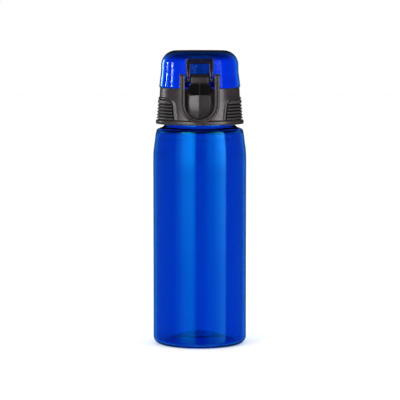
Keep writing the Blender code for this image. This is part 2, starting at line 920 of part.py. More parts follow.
def bail_front_outline():
    """An upside-down U, as (x, distance from the pivot)."""
    corner, foot = 1.6 * MM, -BAIL_EYE_R - SPARE
    window_top = BAIL_REACH - BAIL_BAR
    right_corner = arc((BAIL_HALF - corner, BAIL_REACH - corner), corner, 90, 0, 4)
    half = [
        *right_corner,
        (BAIL_HALF, foot),
        (BAIL_WINDOW_HALF, foot),
        (BAIL_WINDOW_HALF, window_top),
    ]
    return [(0.0, BAIL_REACH)] + half + [(-x, s) for x, s in reversed(half)]


def bail_side_outline():
    """A leg with its round eye, as (y, distance from the pivot)."""
    half = BAIL_THICK / 2
    eye = arc((0.0, 0.0), BAIL_EYE_R, 145, 395, 14)
    return [(-half, BAIL_REACH + SPARE), *eye, (half, BAIL_REACH + SPARE)]


def make_bail(material):
    """Drawn upright on its pivot, then leant back against the lid."""
    reach = BAIL_HALF + SPARE
    bail = plate("lock_bail", bail_front_outline(), FRONT_VIEW, -SPARE, SPARE, material)
    side = plate("bail_side", bail_side_outline(), SIDE_VIEW, -reach, reach)
    bore = cross_bore("bail_eye_bore", Vector((0, 0, 0)), BAIL_BORE_R, reach)
    lean = Matrix.Translation(BAIL_PIVOT) @ Matrix.Rotation(-BAIL_LEAN, 4, "X")
    bpy.context.view_layer.update()
    for piece in (bail, side, bore):
        piece.matrix_world = lean @ piece.matrix_world
    keep_within(bail, side)
    cut(bail, bore)


# Joint axes


def hang_on_pivots():
    """Parents each moving group to an empty on its joint's axis."""
    cap = pivot("cap_axis", (0, 0, NECK_TOP))
    lid = pivot("lid_axis", HINGE, cap)
    button = pivot("button_axis", ROCKER, cap)
    bail = pivot("bail_axis", BAIL_PIVOT, cap)
    groups = {
        lid: ["lid_dome", "seal_carrier", "spout_seal"],
        button: ["release_button"],
        bail: ["lock_bail"],
        cap: [
            "inner_cap",
            "collar",
            "grip_pad_left",
            "grip_pad_right",
            "drink_spout",
            "vent_valve",
            "neck_gasket",
            "hinge_pin",
            "lid_spring",
            "button_pin",
            "button_spring",
            "bail_pin_left",
            "bail_pin_right",
        ],
    }
    for empty, names in groups.items():
        hang(empty, *[bpy.data.objects[name] for name in names])


clear_scene()
PARTS = new_collection("Sports bottle")
CUTTERS = new_collection("Cutters")

BLUE = make_material("translucent blue", (0.0, 0.06, 0.62), 0.12, transmission=0.8)
CHARCOAL = make_material("charcoal plastic", (0.030, 0.028, 0.028), 0.38)
GLOSS_BLACK = make_material("gloss black plastic", (0.010, 0.010, 0.012), 0.12)
SOFT_BLACK = make_material("soft black rubber", (0.020, 0.020, 0.020), 0.60)
SILICONE = make_material("clear silicone", (0.75, 0.77, 0.78), 0.45)
STEEL = make_material("spring steel", (0.62, 0.62, 0.63), 0.25, metallic=1.0)

make_bottle(BLUE)
make_gasket(SILICONE)
make_inner_cap(CHARCOAL)
make_spout(CHARCOAL)
make_vent_valve(SILICONE)
make_collar(CHARCOAL)
make_grip("grip_pad_left", -1, SOFT_BLACK)
make_grip("grip_pad_right", 1, SOFT_BLACK)
make_lid(BLUE)
make_carrier(GLOSS_BLACK)
make_seal(SILICONE)
make_hinge_pin(STEEL)
make_lid_spring(STEEL)
make_button(CHARCOAL)
make_rocker_pin(STEEL)
make_button_spring(STEEL)
make_bail(GLOSS_BLACK)
make_bail_pin("bail_pin_left", -1, STEEL)
make_bail_pin("bail_pin_right", 1, STEEL)
hang_on_pivots()
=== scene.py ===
"""The flip-lid sports bottle, dressed for its portrait.

Every piece is drawn in millimetres in the row frame, rides on the CAD body that it belongs to, and
stands for the CAD node of the same part. The front, with the button, faces -Y.
"""

import json
from math import acos, atan2, cos, pi, radians, sin, sqrt, tan, tau

import bmesh
import bpy
from mathutils import Matrix, Vector


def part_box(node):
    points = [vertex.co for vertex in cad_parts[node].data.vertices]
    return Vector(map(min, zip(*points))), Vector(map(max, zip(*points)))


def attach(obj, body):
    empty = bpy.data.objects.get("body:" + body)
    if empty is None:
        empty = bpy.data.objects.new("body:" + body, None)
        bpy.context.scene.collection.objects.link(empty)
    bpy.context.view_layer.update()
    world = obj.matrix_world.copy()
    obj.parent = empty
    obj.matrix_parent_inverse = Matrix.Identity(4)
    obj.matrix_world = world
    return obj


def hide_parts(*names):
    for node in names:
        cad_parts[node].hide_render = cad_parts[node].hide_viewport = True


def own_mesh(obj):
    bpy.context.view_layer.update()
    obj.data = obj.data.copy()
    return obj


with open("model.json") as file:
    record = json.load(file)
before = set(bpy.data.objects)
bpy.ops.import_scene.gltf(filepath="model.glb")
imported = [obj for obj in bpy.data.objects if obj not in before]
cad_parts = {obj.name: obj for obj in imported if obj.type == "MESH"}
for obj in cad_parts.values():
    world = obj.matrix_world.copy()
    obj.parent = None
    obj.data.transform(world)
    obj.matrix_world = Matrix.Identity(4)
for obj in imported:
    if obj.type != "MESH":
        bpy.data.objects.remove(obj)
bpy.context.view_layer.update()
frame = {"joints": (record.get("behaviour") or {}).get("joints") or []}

MM = 0.001


def corner(node, which, axis):
    """One side of a CAD node's box, in millimetres: which is 0 for low or 1 for high."""
    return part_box(node)[which][axis] / MM


def joint_place(name):
    """Where a joint's axis runs, in millimetres."""
    return Vector(next(j for j in frame["joints"] if j["name"] == name)["pos_m"]) / MM


def across(place, half):
    """The two ends of a line along X, half of it on each side of a place."""
    return place - Vector((half, 0, 0)), place + Vector((half, 0, 0))


X, Y, Z = 0, 1, 2
LOW, HIGH = 0, 1
HINGE = joint_place("lid_open")
ROCKER = joint_place("button_press")
BAIL_PIVOT = joint_place("bail_swing")

# The bottle
BODY_R = corner("bottle_body", HIGH, X)
NECK_TOP = corner("bottle_body", HIGH, Z)
WALL = 2.2
NECK_R = 26.8
PUSH_UP = 5.0
PITCH = 4.0
THREAD_START = 179.0
THREAD_TURNS = 1.25
THREAD_HEIGHT = 1.3

# The cap
COLLAR_BOTTOM = corner("collar", LOW, Z)
COLLAR_TOP = 201.0
FLANGE_R = corner("collar", HIGH, X)
FLANGE_TOP = 176.0
CONE_FOOT, CONE_FOOT_R = 177.0, 32.2
CONE_TOP_R = 31.1
COLLAR_BORE_R = 30.05
LIP_R = 27.0
DECK_TOP = 195.3
DECK_BOTTOM = corner("neck_gasket", HIGH, Z) + 0.3
SKIRT_R = corner("inner_cap", HIGH, X)
SKIRT_BORE_R = 28.45
SKIRT_TOP = corner("inner_cap", HIGH, Z)
SKIRT_BOTTOM = corner("inner_cap", LOW, Z)
SPOUT_Y = (corner("drink_spout", LOW, Y) + corner("drink_spout", HIGH, Y)) / 2
SPOUT_TOP = corner("drink_spout", HIGH, Z)
SPOUT_R, SPOUT_BORE_R = 8.2, 5.2
VENT = (
    (corner("vent_valve", LOW, X) + corner("vent_valve", HIGH, X)) / 2,
    (corner("vent_valve", LOW, Y) + corner("vent_valve", HIGH, Y)) / 2,
)

# The bezel round the button: a U between two half rounds whose centres are 1 mm apart
POCKET_HALF, BEZEL_HALF = 11.3, 15.4
POCKET_CENTRE, BEZEL_CENTRE = 189.0, 190.0
POCKET_FLOOR = -31.1
BEZEL_FRONT = corner("collar", LOW, Y)
EAR_TOP = corner("collar", HIGH, Z)
EAR_BACK = -30.3
EAR_ROUND = 3.2

# The grips
GRIP_BOTTOM = corner("grip_pad_right", LOW, Z)
GRIP_TOP = corner("grip_pad_right", HIGH, Z)
GRIP_FOOT_R, GRIP_HEAD_R = 33.7, 32.6
GRIP_FOOT_X, GRIP_HEAD_X = 20.0, 21.4
GRIP_CORNER_R = 4.0
GROOVES, TOP_GROOVE, GROOVE_PITCH = 5, 188.5, 2.42
GROOVE_HALF, GROOVE_DEPTH = 0.62, 0.95

# The lid
LID_BOTTOM = 201.3
LID_TOP = corner("lid_dome", HIGH, Z)
LID_WAIST_R = 30.2
LID_CORNER_R = 11.6
CARRIER_R = corner("seal_carrier", HIGH, X)
CARRIER_BOTTOM = corner("seal_carrier", LOW, Z)
CARRIER_TOP = corner("seal_carrier", HIGH, Z)

# The hinge
KNUCKLE_R = 2.6
PIN_R, HINGE_BORE_R = 1.0, 1.15
FAR = 20.0  # how far a bore's cutter reaches to each side
LID_KNUCKLE = (4.6, 8.6)
COLLAR_KNUCKLE = (9.0, 14.0)

# The button and the bail
HEAD_TOP = corner("release_button", HIGH, Z)
BUTTON_FOOT = corner("release_button", LOW, Z)
PETAL_TOP = 196.4
HEAD_BOTTOM = 205.2
BAIL_WINDOW, BAIL_HALF = 7.1, 10.4
BAIL_REACH, BAIL_BAR = 16.4, 4.3
BAIL_THICK, BAIL_EYE_R = 2.6, 2.4
ROCKER_PIN_R, ROCKER_BORE_R = 0.8, 0.95
BAIL_PIN_R, BAIL_BORE_R = 0.9, 1.05
BAIL_LEAN = radians(5.6)

ROUND = 144  # facets round a large turned piece
SMALL_ROUND = 72


# Outlines


def smooth(low, high, value):
    """0 below low, 1 above high, and a smooth step between them."""
    t = min(max((value - low) / (high - low), 0.0), 1.0)
    return t * t * (3 - 2 * t)


def mix(a, b, share):
    return a + (b - a) * share


def arc(centre, radius, start, end, steps):
    """Points on an arc, both ends included. Angles in degrees, counted from the first axis."""
    angles = [radians(mix(start, end, i / steps)) for i in range(steps + 1)]
    return [(centre[0] + radius * cos(a), centre[1] + radius * sin(a)) for a in angles]


def rounded_corner(before, at, after, radius, steps):
    """The arc that replaces a corner, as long as its sides allow it."""
    at = Vector(at)
    back, ahead = Vector(before) - at, Vector(after) - at
    half = back.angle(ahead) / 2
    if half > radians(89):
        return [tuple(at)]
    reach = min(radius / tan(half), 0.49 * back.length, 0.49 * ahead.length)
    radius = reach * tan(half)
    back.normalize()
    ahead.normalize()
    centre = at + (back + ahead).normalized() * (radius / sin(half))
    start, end = at + back * reach - centre, at + ahead * reach - centre
    first = atan2(start.y, start.x)
    turn = (atan2(end.y, end.x) - first + pi) % tau - pi
    angles = [first + turn * i / steps for i in range(steps + 1)]
    return [(centre.x + radius * cos(a), centre.y + radius * sin(a)) for a in angles]


def rounded(points, closed=True, steps=5):
    """An outline with its corners rounded: a point is (a, b), which stays sharp, or (a, b, radius)."""
    made = []
    count = len(points)
    for i, point in enumerate(points):
        end = not closed and i in (0, count - 1)
        if len(point) == 2 or end:
            made.append(point[:2])
            continue
        before, after = points[i - 1][:2], points[(i + 1) % count][:2]
        made += rounded_corner(before, point[:2], after, point[2], steps)
    return made


def flowing(points, steps=6):
    """A Catmull-Rom curve through the points."""
    ends = [points[0], *points, points[-1]]
    made = []
    for a, b, c, d in zip(ends, ends[1:], ends[2:], ends[3:]):
        for i in range(steps):
            t = i / steps
            made.append(tuple(
                0.5 * (2 * q + (r - p) * t + (2 * p - 5 * q + 4 * r - s) * t**2
                       + (3 * q - p - 3 * r + s) * t**3)
                for p, q, r, s in zip(a, b, c, d)
            ))
    return [*made, points[-1]]


def reading(points, at):
    """The value, at a place, of a curve given as (place, value) in rising order of place."""
    for (a, low), (b, high) in zip(points, points[1:]):
        if at <= b:
            return mix(low, high, max(at - a, 0.0) / (b - a))
    return points[-1][1]


def inset(outline, distance):
    """A closed counter-clockwise outline moved inwards along its corners' bisectors."""
    moved = []
    for i, point in enumerate(outline):
        here, before = Vector(point), Vector(outline[i - 1])
        after = Vector(outline[(i + 1) % len(outline)])
        along = (here - before).normalized() + (after - here).normalized()
        moved.append(here + Vector((-along.y, along.x)).normalized() * distance)
    return [tuple(p) for p in moved]


# Solids


def add_mesh(name, points, faces, sharp):
    mesh = bpy.data.meshes.new(name)
    mesh.from_pydata([Vector(p) * MM for p in points], [], faces)
    shape = bmesh.new()
    shape.from_mesh(mesh)
    bmesh.ops.remove_doubles(shape, verts=shape.verts, dist=0.002 * MM)
    bmesh.ops.dissolve_degenerate(shape, edges=shape.edges, dist=0.001 * MM)
    bmesh.ops.recalc_face_normals(shape, faces=shape.faces)
    shape.to_mesh(mesh)
    shape.free()
    mesh.shade_smooth()
    mesh.set_sharp_from_angle(angle=radians(sharp))
    piece = bpy.data.objects.new(name, mesh)
    bpy.context.scene.collection.objects.link(piece)
    return piece


def loft(name, loops, wrap=False, sharp=38):
    """A closed skin through loops of equally many points. Without wrap its two ends are filled."""
    count = len(loops[0])
    points = [p for loop in loops for p in loop]
    last = len(loops) if wrap else len(loops) - 1
    faces = []
    for i in range(last):
        a, b = i * count, (i + 1) % len(loops) * count
        faces += [(a + j - 1, a + j, b + j, b + j - 1) for j in range(1, count)]
        faces.append((a + count - 1, a, b, b + count - 1))
    if not wrap:
        faces.append(tuple(range(count)))
        faces.append(tuple(reversed(range(len(points) - count, len(points)))))
    return add_mesh(name, points, faces, sharp)


def ring(radius, height, steps, at=(0.0, 0.0)):
    angles = [tau * i / steps for i in range(steps)]
    return [(at[0] + radius * cos(a), at[1] + radius * sin(a), height) for a in angles]


def turned(name, profile, steps=ROUND, at=(0.0, 0.0), wrap=True, sharp=38):
    """A profile of (radius, height) turned round an upright axis."""
    return loft(name, [ring(r, z, steps, at) for r, z in profile], wrap, sharp)


def slab(name, outline, start, end, edge):
    """An outline of (y, z) extruded along X, with its two rims rounded."""
    steps = 3
    near = [(start + edge * (1 - cos(pi / 2 * i / steps)), edge * (1 - sin(pi / 2 * i / steps)))
            for i in range(steps + 1)]
    far = [(start + end - x, depth) for x, depth in reversed(near)]
    loops = [[(x, y, z) for y, z in inset(outline, depth)] for x, depth in near + far]
    return loft(name, loops)


def rod(name, radius, start, end, chamfer=0.2, steps=32):
    """A round bar between two points, with small chamfers."""
    start, end = Vector(start), Vector(end)
    length = (end - start).length
    turn = (end - start).to_track_quat("Z", "Y")
    profile = [(0, 0), (radius - chamfer, 0), (radius, chamfer),
               (radius, length - chamfer), (radius - chamfer, length), (0, length)]
    loops = [[start + turn @ Vector(p) for p in ring(r, z, steps)] for r, z in profile]
    return loft(name, loops)


def wire(name, points, radius, steps=12):
    """A round wire through the points, with filled ends."""
    curve = bpy.data.curves.new(name, "CURVE")
    curve.dimensions = "3D"
    curve.bevel_depth = radius * MM
    curve.bevel_resolution = steps // 4
    curve.use_fill_caps = True
    spline = curve.splines.new("POLY")
    spline.points.add(len(points) - 1)
    for point, place in zip(spline.points, points):
        point.co = (*(Vector(place) * MM), 1.0)
    drawn = bpy.data.objects.new(name + "-line", curve)
    bpy.context.scene.collection.objects.link(drawn)
    mesh = evaluated(drawn)
    bpy.data.objects.remove(drawn)
    shape = bmesh.new()
    shape.from_mesh(mesh)
    bmesh.ops.remove_doubles(shape, verts=shape.verts, dist=0.001 * MM)
    shape.to_mesh(mesh)
    shape.free()
    mesh.shade_smooth()
    mesh.set_sharp_from_angle(angle=radians(50))
    piece = bpy.data.objects.new(name, mesh)
    bpy.context.scene.collection.objects.link(piece)
    return piece


def evaluated(piece):
    """The mesh that a piece shows, modifiers included."""
    bpy.context.view_layer.update()
    graph = bpy.context.evaluated_depsgraph_get()
    return bpy.data.meshes.new_from_object(piece.evaluated_get(graph))


def combine(piece, others, operation, sharp=38):
    """Joins or cuts the others, which are used up."""
    for other in others:
        modifier = piece.modifiers.new(other.name, "BOOLEAN")
        modifier.operation = operation
        modifier.solver = "EXACT"
        modifier.object = other
    mesh = evaluated(piece)
    piece.modifiers.clear()
    piece.data = mesh
    mesh.shade_smooth()
    mesh.set_sharp_from_angle(angle=radians(sharp))
    for other in others:
        bpy.data.objects.remove(other)
    return piece


def store_painted_shade(piece, depth):
    """Stores a share of painted shade for each point, from 0 to 1, for the material to darken by."""
    # The painted shade is kept in a point attribute named hollow.
    marks = piece.data.attributes.new("hollow", "FLOAT", "POINT")
    for mark, vertex in zip(marks.data, piece.data.vertices):
        mark.value = depth(*(vertex.co / MM))


def dress(piece, body, material, slot, *nodes):
    """Gives a piece its material and body, and lets it stand for its CAD nodes. Its slot is not used."""
    piece.data.materials.clear()
    piece.data.materials.append(material)
    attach(piece, body)
    if nodes:
        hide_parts(*nodes)
    return piece


# Materials


class Nodes:
    """A node tree, with short calls for its nodes and links."""

    def node(self, kind, **settings):
        made = self.tree.nodes.new(kind)
        for name, value in settings.items():
            setattr(made, name, value)
        return made

    def link(self, source, target):
        self.tree.links.new(source, target)

    def maths(self, operation, *terms):
        """One operation on one or two terms, each a socket or a number."""
        made = self.node("ShaderNodeMath", operation=operation)
        for target, term in zip(made.inputs, terms):
            if isinstance(term, float):
                target.default_value = term
            else:
                self.link(term, target)
        return made.outputs["Value"]


class Look(Nodes):
    """A material under construction, with short calls for the nodes that the looks share."""

    def __init__(self, name):
        self.material = bpy.data.materials.new(name)
        self.material.use_nodes = True
        self.tree = self.material.node_tree
        self.shader = self.tree.nodes["Principled BSDF"]
        self.out = self.tree.nodes["Material Output"]
        self.place = self.node("ShaderNodeTexCoord").outputs["Object"]

    def put(self, **values):
        for name, value in values.items():
            self.shader.inputs[name.replace("_", " ")].default_value = value

    def stretched(self, scale):
        """Object coordinates in millimetres, stretched along each axis."""
        mapping = self.node("ShaderNodeMapping")
        mapping.inputs["Scale"].default_value = [s / MM for s in scale]
        self.link(self.place, mapping.inputs["Vector"])
        return mapping.outputs["Vector"]

    def noise(self, size, detail=3.0, scale=(1, 1, 1)):
        """Noise whose blobs are about size millimetres wide."""
        made = self.node("ShaderNodeTexNoise")
        made.inputs["Scale"].default_value = 1 / size
        made.inputs["Detail"].default_value = detail
        self.link(self.stretched(scale), made.inputs["Vector"])
        return made.outputs["Fac"]

    def pits(self, size):
        """The fine pitted grain of a spark-eroded mould."""
        made = self.node("ShaderNodeTexVoronoi")
        made.inputs["Scale"].default_value = 1 / size
        self.link(self.stretched((1, 1, 1)), made.inputs["Vector"])
        return made.outputs["Distance"]

    def spread(self, source, low, high, start=0.3, end=0.7):
        """Stretches a value from start..end to low..high."""
        made = self.node("ShaderNodeMapRange")
        made.inputs["From Min"].default_value = start
        made.inputs["From Max"].default_value = end
        made.inputs["To Min"].default_value = low
        made.inputs["To Max"].default_value = high
        self.link(source, made.inputs["Value"])
        return made.outputs["Result"]

    def blend(self, share, first, second):
        """One colour into another by a value from 0 to 1."""
        made = self.node("ShaderNodeMix", data_type="RGBA")
        self.link(share, made.inputs["Factor"])
        made.inputs["A"].default_value = (*first, 1.0)
        made.inputs["B"].default_value = (*second, 1.0)
        return made

    def cloudy(self, dark, light, size, detail=3.0):
        """A colour that drifts between two shades."""
        return self.blend(self.spread(self.noise(size, detail), 0, 1), dark, light)

    def open_by(self, share):
        """Lets light straight through by a share from 0 to 1."""
        clear = self.node("ShaderNodeBsdfTransparent")
        either = self.node("ShaderNodeMixShader")
        self.link(share, either.inputs["Fac"])
        self.link(self.shader.outputs["BSDF"], either.inputs[1])
        self.link(clear.outputs["BSDF"], either.inputs[2])
        self.link(either.outputs["Shader"], self.out.inputs["Surface"])

    def painted_shade_share(self):
        """The share of painted shade that each point was given."""
        return self.node("ShaderNodeAttribute", attribute_name="hollow").outputs["Fac"]

    def colour(self, shade, worn, worn_colour, painted_shade_colour):
        """The base colour: one that varies, rubbed lighter on edges, and darkened by painted shade where
        points are marked.
        """
        for share, other in ((worn, worn_colour), (self.painted_shade_share(), painted_shade_colour)):
            over = self.node("ShaderNodeMix", data_type="RGBA")
            self.link(share, over.inputs["Factor"])
            self.link(shade.outputs["Result"], over.inputs["A"])
            over.inputs["B"].default_value = (*other, 1.0)
            shade = over
        self.link(shade.outputs["Result"], self.shader.inputs["Base Color"])
        # Painted shade also takes the shine out where points are marked.
        shine = self.spread(self.painted_shade_share(), 0.5, 0.06, 0.0, 1.0)
        self.link(shine, self.shader.inputs["Specular IOR Level"])

    def edges(self, low=0.52, high=0.60):
        """1 where the surface turns outwards sharply, as along a worn edge."""
        return self.spread(self.node("ShaderNodeNewGeometry").outputs["Pointiness"], 0, 1, low, high)

    def bump(self, *layers):
        """Bump from (height, strength, depth in millimetres) layers, the coarsest first."""
        below = None
        for height, strength, depth in layers:
            made = self.node("ShaderNodeBump")
            made.inputs["Strength"].default_value = strength
            made.inputs["Distance"].default_value = depth * MM
            self.link(height, made.inputs["Height"])
            if below:
                self.link(below, made.inputs["Normal"])
            below = made.outputs["Normal"]
        self.link(below, self.shader.inputs["Normal"])


def moulded(name, dark, light, roughness, grain=0.22, depth=0.02, edge=(0.06, 0.058, 0.056)):
    """A moulded plastic: slow shade changes, a fine pitted grain, and edges rubbed lighter."""
    look = Look(name)
    shade = look.cloudy(dark, light, 9.0)
    # Points marked with painted shade go near black.
    look.colour(shade, look.edges(), edge, (0.003, 0.003, 0.003))
    rough = look.spread(look.noise(3.5, 5.0), *roughness)
    look.link(rough, look.shader.inputs["Roughness"])
    look.bump((look.noise(9.0, 1.0), 0.10, 0.10), (look.pits(grain), 0.3, depth))
    look.put(IOR=1.5, Specular_Tint=(1.0, 0.93, 0.95, 1.0))
    return look.material


def rubber(name):
    """Soft-touch rubber, with a dusty bloom and a fine tooth."""
    look = Look(name)
    shade = look.cloudy((0.024, 0.0205, 0.0215), (0.038, 0.0330, 0.0345), 2.5, 4.0)
    # Painted shade, nearly black, in the marked grooves between the ribs.
    look.colour(shade, look.edges(0.50, 0.62), (0.085, 0.076, 0.078), (0.0005, 0.0005, 0.0005))
    look.link(look.spread(look.noise(1.2, 5.0), 0.34, 0.48), look.shader.inputs["Roughness"])
    look.bump((look.pits(0.16), 0.5, 0.02),)
    look.put(IOR=1.5, Sheen_Weight=0.02, Sheen_Roughness=0.5)
    return look.material


def gloss_black(name):
    """Polished black plastic with hairline wear."""
    look = Look(name)
    shade = look.cloudy((0.002, 0.0018, 0.008), (0.006, 0.0052, 0.018), 5.0)
    look.link(shade.outputs["Result"], look.shader.inputs["Base Color"])
    hairs = look.noise(0.5, 4.0, (0.06, 1.0, 1.0))
    look.link(look.spread(hairs, 0.08, 0.18), look.shader.inputs["Roughness"])
    look.bump((look.noise(4.0, 2.0), 0.2, 0.08), (hairs, 0.15, 0.01))
    look.put(IOR=1.4)
    return look.material


def silicone(name):
    """Milky silicone with faint dust."""
    look = Look(name)
    shade = look.cloudy((0.56, 0.58, 0.60), (0.68, 0.70, 0.72), 3.0, 4.0)
    look.link(shade.outputs["Result"], look.shader.inputs["Base Color"])
    look.link(look.spread(look.noise(1.5, 4.0), 0.32, 0.48), look.shader.inputs["Roughness"])
    look.bump((look.noise(0.4, 3.0), 0.2, 0.02),)
    look.put(IOR=1.41, Subsurface_Weight=0.35, Subsurface_Scale=0.002)
    return look.material


def steel(name, along, dark, light):
    """Drawn steel, with its draw marks along one axis."""
    look = Look(name)
    marks = look.noise(0.12, 4.0, [0.03 if axis == along else 1.0 for axis in (X, Y, Z)])
    shade = look.blend(look.spread(marks, 0, 1), dark, light)
    look.link(shade.outputs["Result"], look.shader.inputs["Base Color"])
    look.link(look.spread(marks, 0.18, 0.36), look.shader.inputs["Roughness"])
    look.bump((marks, 0.2, 0.01),)
    look.put(Metallic=1.0)
    return look.material


def clear_blue(name, tint, shine):
    """Clear tinted plastic, which takes out red and most green at each face and more in a long wall."""
    look = Look(name)
    look.put(IOR=1.55, Transmission_Weight=1.0, Specular_Tint=(*shine, 1.0))
    # Where points are marked, the tint is painted ten times darker, as painted shade.
    tint_with_painted_shade = look.blend(look.painted_shade_share(), tint, [0.1 * share for share in tint])
    look.link(tint_with_painted_shade.outputs["Result"], look.shader.inputs["Base Color"])
    flow = look.noise(14.0, 2.0, (1.0, 1.0, 0.35))
    look.link(look.spread(flow, 0.015, 0.05), look.shader.inputs["Roughness"])
    look.bump((flow, 0.12, 0.25), (look.noise(1.6, 2.0), 0.006, 0.02))
    soak = look.node("ShaderNodeVolumeAbsorption")
    soak.inputs["Color"].default_value = (0.6, 0.75, 0.9, 1.0)
    soak.inputs["Density"].default_value = 300.0
    look.link(soak.outputs["Volume"], look.out.inputs["Volume"])
    look.open_by(look.node("ShaderNodeLightPath").outputs["Is Shadow Ray"])
    return look.material


# The bottle


def base_outside():
    """Under the bottle, from the middle out: a gate mark, the push-up, and the ring that it stands on."""
    stand_in, stand_out, corner_r = 27.0, 31.0, 5.5
    points = [
        (0.0, PUSH_UP - 0.6), (1.6, PUSH_UP - 0.6, 0.4), (2.0, PUSH_UP, 0.3),
        (9.4, PUSH_UP, 0.3), (9.8, PUSH_UP - 0.35, 0.3), (11.0, PUSH_UP - 0.35, 0.3),
        (11.4, PUSH_UP, 0.3), (15.0, PUSH_UP, 7.0), (24.0, 1.2, 5.0), (stand_in, 0.0, 1.5),
        (stand_out, 0.0, 0.3),
    ]
    return rounded(points, closed=False) + arc((stand_out, corner_r), corner_r, -86, 0, 14)


def body_outside():
    """Up the outside, from above the base corner to the rim of the neck."""
    shoulder = flowing([
        (BODY_R, 130.0), (BODY_R, 146.0), (36.1, 153.0), (35.3, 159.0), (34.85, 163.0), (34.3, 166.2),
    ])
    crown = rounded([
        (34.3, 166.2), (33.6, 168.6, 2.2), (32.4, 169.2, 1.5), (29.4, 170.3, 0.8), (27.7, 171.8, 0.6),
        (27.7, 173.2, 0.4), (NECK_R, 174.2, 0.4), (NECK_R, 177.0),
    ], closed=False)
    step = 0.25
    neck = [(NECK_R, 177.0 + step * i) for i in range(1, 45)]
    rim = rounded([(NECK_R, 188.2), (NECK_R, NECK_TOP, 0.6), (NECK_R - 1.0, NECK_TOP)], closed=False)
    wall = [(BODY_R, 8.0 + 12.0 * i) for i in range(11)]
    return wall + shoulder + crown[1:] + neck + rim


def body_inside():
    """Down the inside, from the rim to the middle of the floor."""
    inner = BODY_R - WALL
    bore = NECK_R - WALL
    top = rounded([(bore + 0.8, NECK_TOP), (bore, NECK_TOP, 0.6), (bore, 187.0)], closed=False)
    funnel = flowing([
        (bore, 173.0), (bore + 0.3, 170.4), (27.0, 168.6), (30.6, 167.7), (32.2, 166.0), (32.8, 162.5),
        (33.3, 158.5), (33.9, 153.0), (inner, 146.0), (inner, 130.0),
    ])
    wall = [(inner, 128.0 - 12.0 * i) for i in range(11)]
    floor = rounded([
        (inner, 8.0), (inner, WALL + 0.1, 4.6), (28.6, WALL + 0.1, 3.0), (24.0, 3.6, 5.0),
        (15.0, PUSH_UP + WALL, 7.0), (0.0, PUSH_UP + WALL),
    ], closed=False, steps=8)
    return top + funnel + wall + floor


def thread(angle, height):
    """How far the neck's thread stands out: a helical ridge that fades at both ends."""
    root_half, crest_half, fade = 1.0, 0.5, 0.08
    out = 0.0
    for lap in (0, 1):
        turns = angle / tau + lap
        if turns > THREAD_TURNS:
            continue
        off = abs(height - THREAD_START - PITCH * turns)
        flank = 1 - smooth(crest_half, root_half, off)
        out = max(out, flank * smooth(0, fade, turns) * smooth(0, fade, THREAD_TURNS - turns))
    return THREAD_HEIGHT * out


def make_bottle(material):
    loops = []
    for radius, height in base_outside() + body_outside():
        loop = []
        for i in range(ROUND):
            angle = tau * i / ROUND
            r = radius + thread(angle, height) if radius == NECK_R else radius
            loop.append((r * cos(angle), r * sin(angle), height))
        loops.append(loop)
    loops += [ring(r, z, ROUND) for r, z in body_inside()]
    shell = loft("bottle_shell", loops, sharp=60)
    dress(shell, "bottle", material, "blue_body", "bottle_body")


# The cap's inside


def make_gasket(material):
    low, high = corner("neck_gasket", LOW, Z), corner("neck_gasket", HIGH, Z)
    inner, outer = 24.9, corner("neck_gasket", HIGH, X)
    rib = (inner + outer) / 2
    profile = rounded([
        (inner, high, 0.5), (outer, high, 0.5), (outer, low, 0.5), (rib + 0.6, low), (rib + 0.4, low + 0.3),
        (rib - 0.4, low + 0.3), (rib - 0.6, low), (inner, low, 0.5),
    ])
    dress(turned("neck_seal_ring", profile), "neck_seal", material, "silicone", "neck_gasket")


def inner_cap_profile():
    """From the middle of the deck's top, over the rim, down the skirt, and back under the deck."""
    well = 27.2
    return rounded([
        (0.0, DECK_TOP), (13.6, DECK_TOP, 0.3), (13.9, DECK_TOP - 0.4, 0.2), (15.4, DECK_TOP - 0.4, 0.2),
        (15.7, DECK_TOP, 0.3), (24.2, DECK_TOP, 0.6), (25.0, DECK_TOP + 0.8, 0.6),
        (25.8, DECK_TOP + 0.8, 0.3), (26.2, DECK_TOP + 0.2, 0.3), (well, DECK_TOP + 0.2, 0.3),
        (well, SKIRT_TOP, 0.5), (SKIRT_R, SKIRT_TOP, 0.5), (SKIRT_R, SKIRT_BOTTOM, 0.4),
        (SKIRT_BORE_R, SKIRT_BOTTOM, 0.5), (SKIRT_BORE_R, DECK_BOTTOM, 0.3), (0.0, DECK_BOTTOM),
    ], closed=False)


def cap_thread(name):
    """The inner cap's thread, which runs below the neck's and pulls the cap down."""
    steps, bite, depth = 160, 0.3, 1.3
    root = SKIRT_BORE_R + bite
    loops = []
    for i in range(steps + 1):
        turns = THREAD_TURNS * i / steps
        full = smooth(-0.02, 0.08, turns) * smooth(-0.02, 0.08, THREAD_TURNS - turns)
        crest = SKIRT_BORE_R - depth * max(full, 0.05)
        z = THREAD_START - PITCH / 2 + PITCH * turns
        section = [(root, z - 1.0), (crest, z - 0.5), (crest, z + 0.5), (root, z + 1.0)]
        angle = tau * turns
        loops.append([(r * cos(angle), r * sin(angle), h) for r, h in section])
    return loft(name, loops)


def make_inner_cap(material):
    cap = turned("threaded_inner_cap", inner_cap_profile(), wrap=False)
    above, below = DECK_TOP + 5, DECK_BOTTOM - 5
    spout_hole = rod("spout-hole", 7.0, (0, SPOUT_Y, below), (0, SPOUT_Y, above), 0.1, 64)
    vent_hole = rod("vent-hole", 1.4, (*VENT, below), (*VENT, above), 0.1)
    combine(cap, [spout_hole, vent_hole], "DIFFERENCE")
    dress(cap, "cap", material, "inner_plastic", "inner_cap")
    dress(cap_thread("inner_cap_thread"), "cap", material, "inner_plastic")


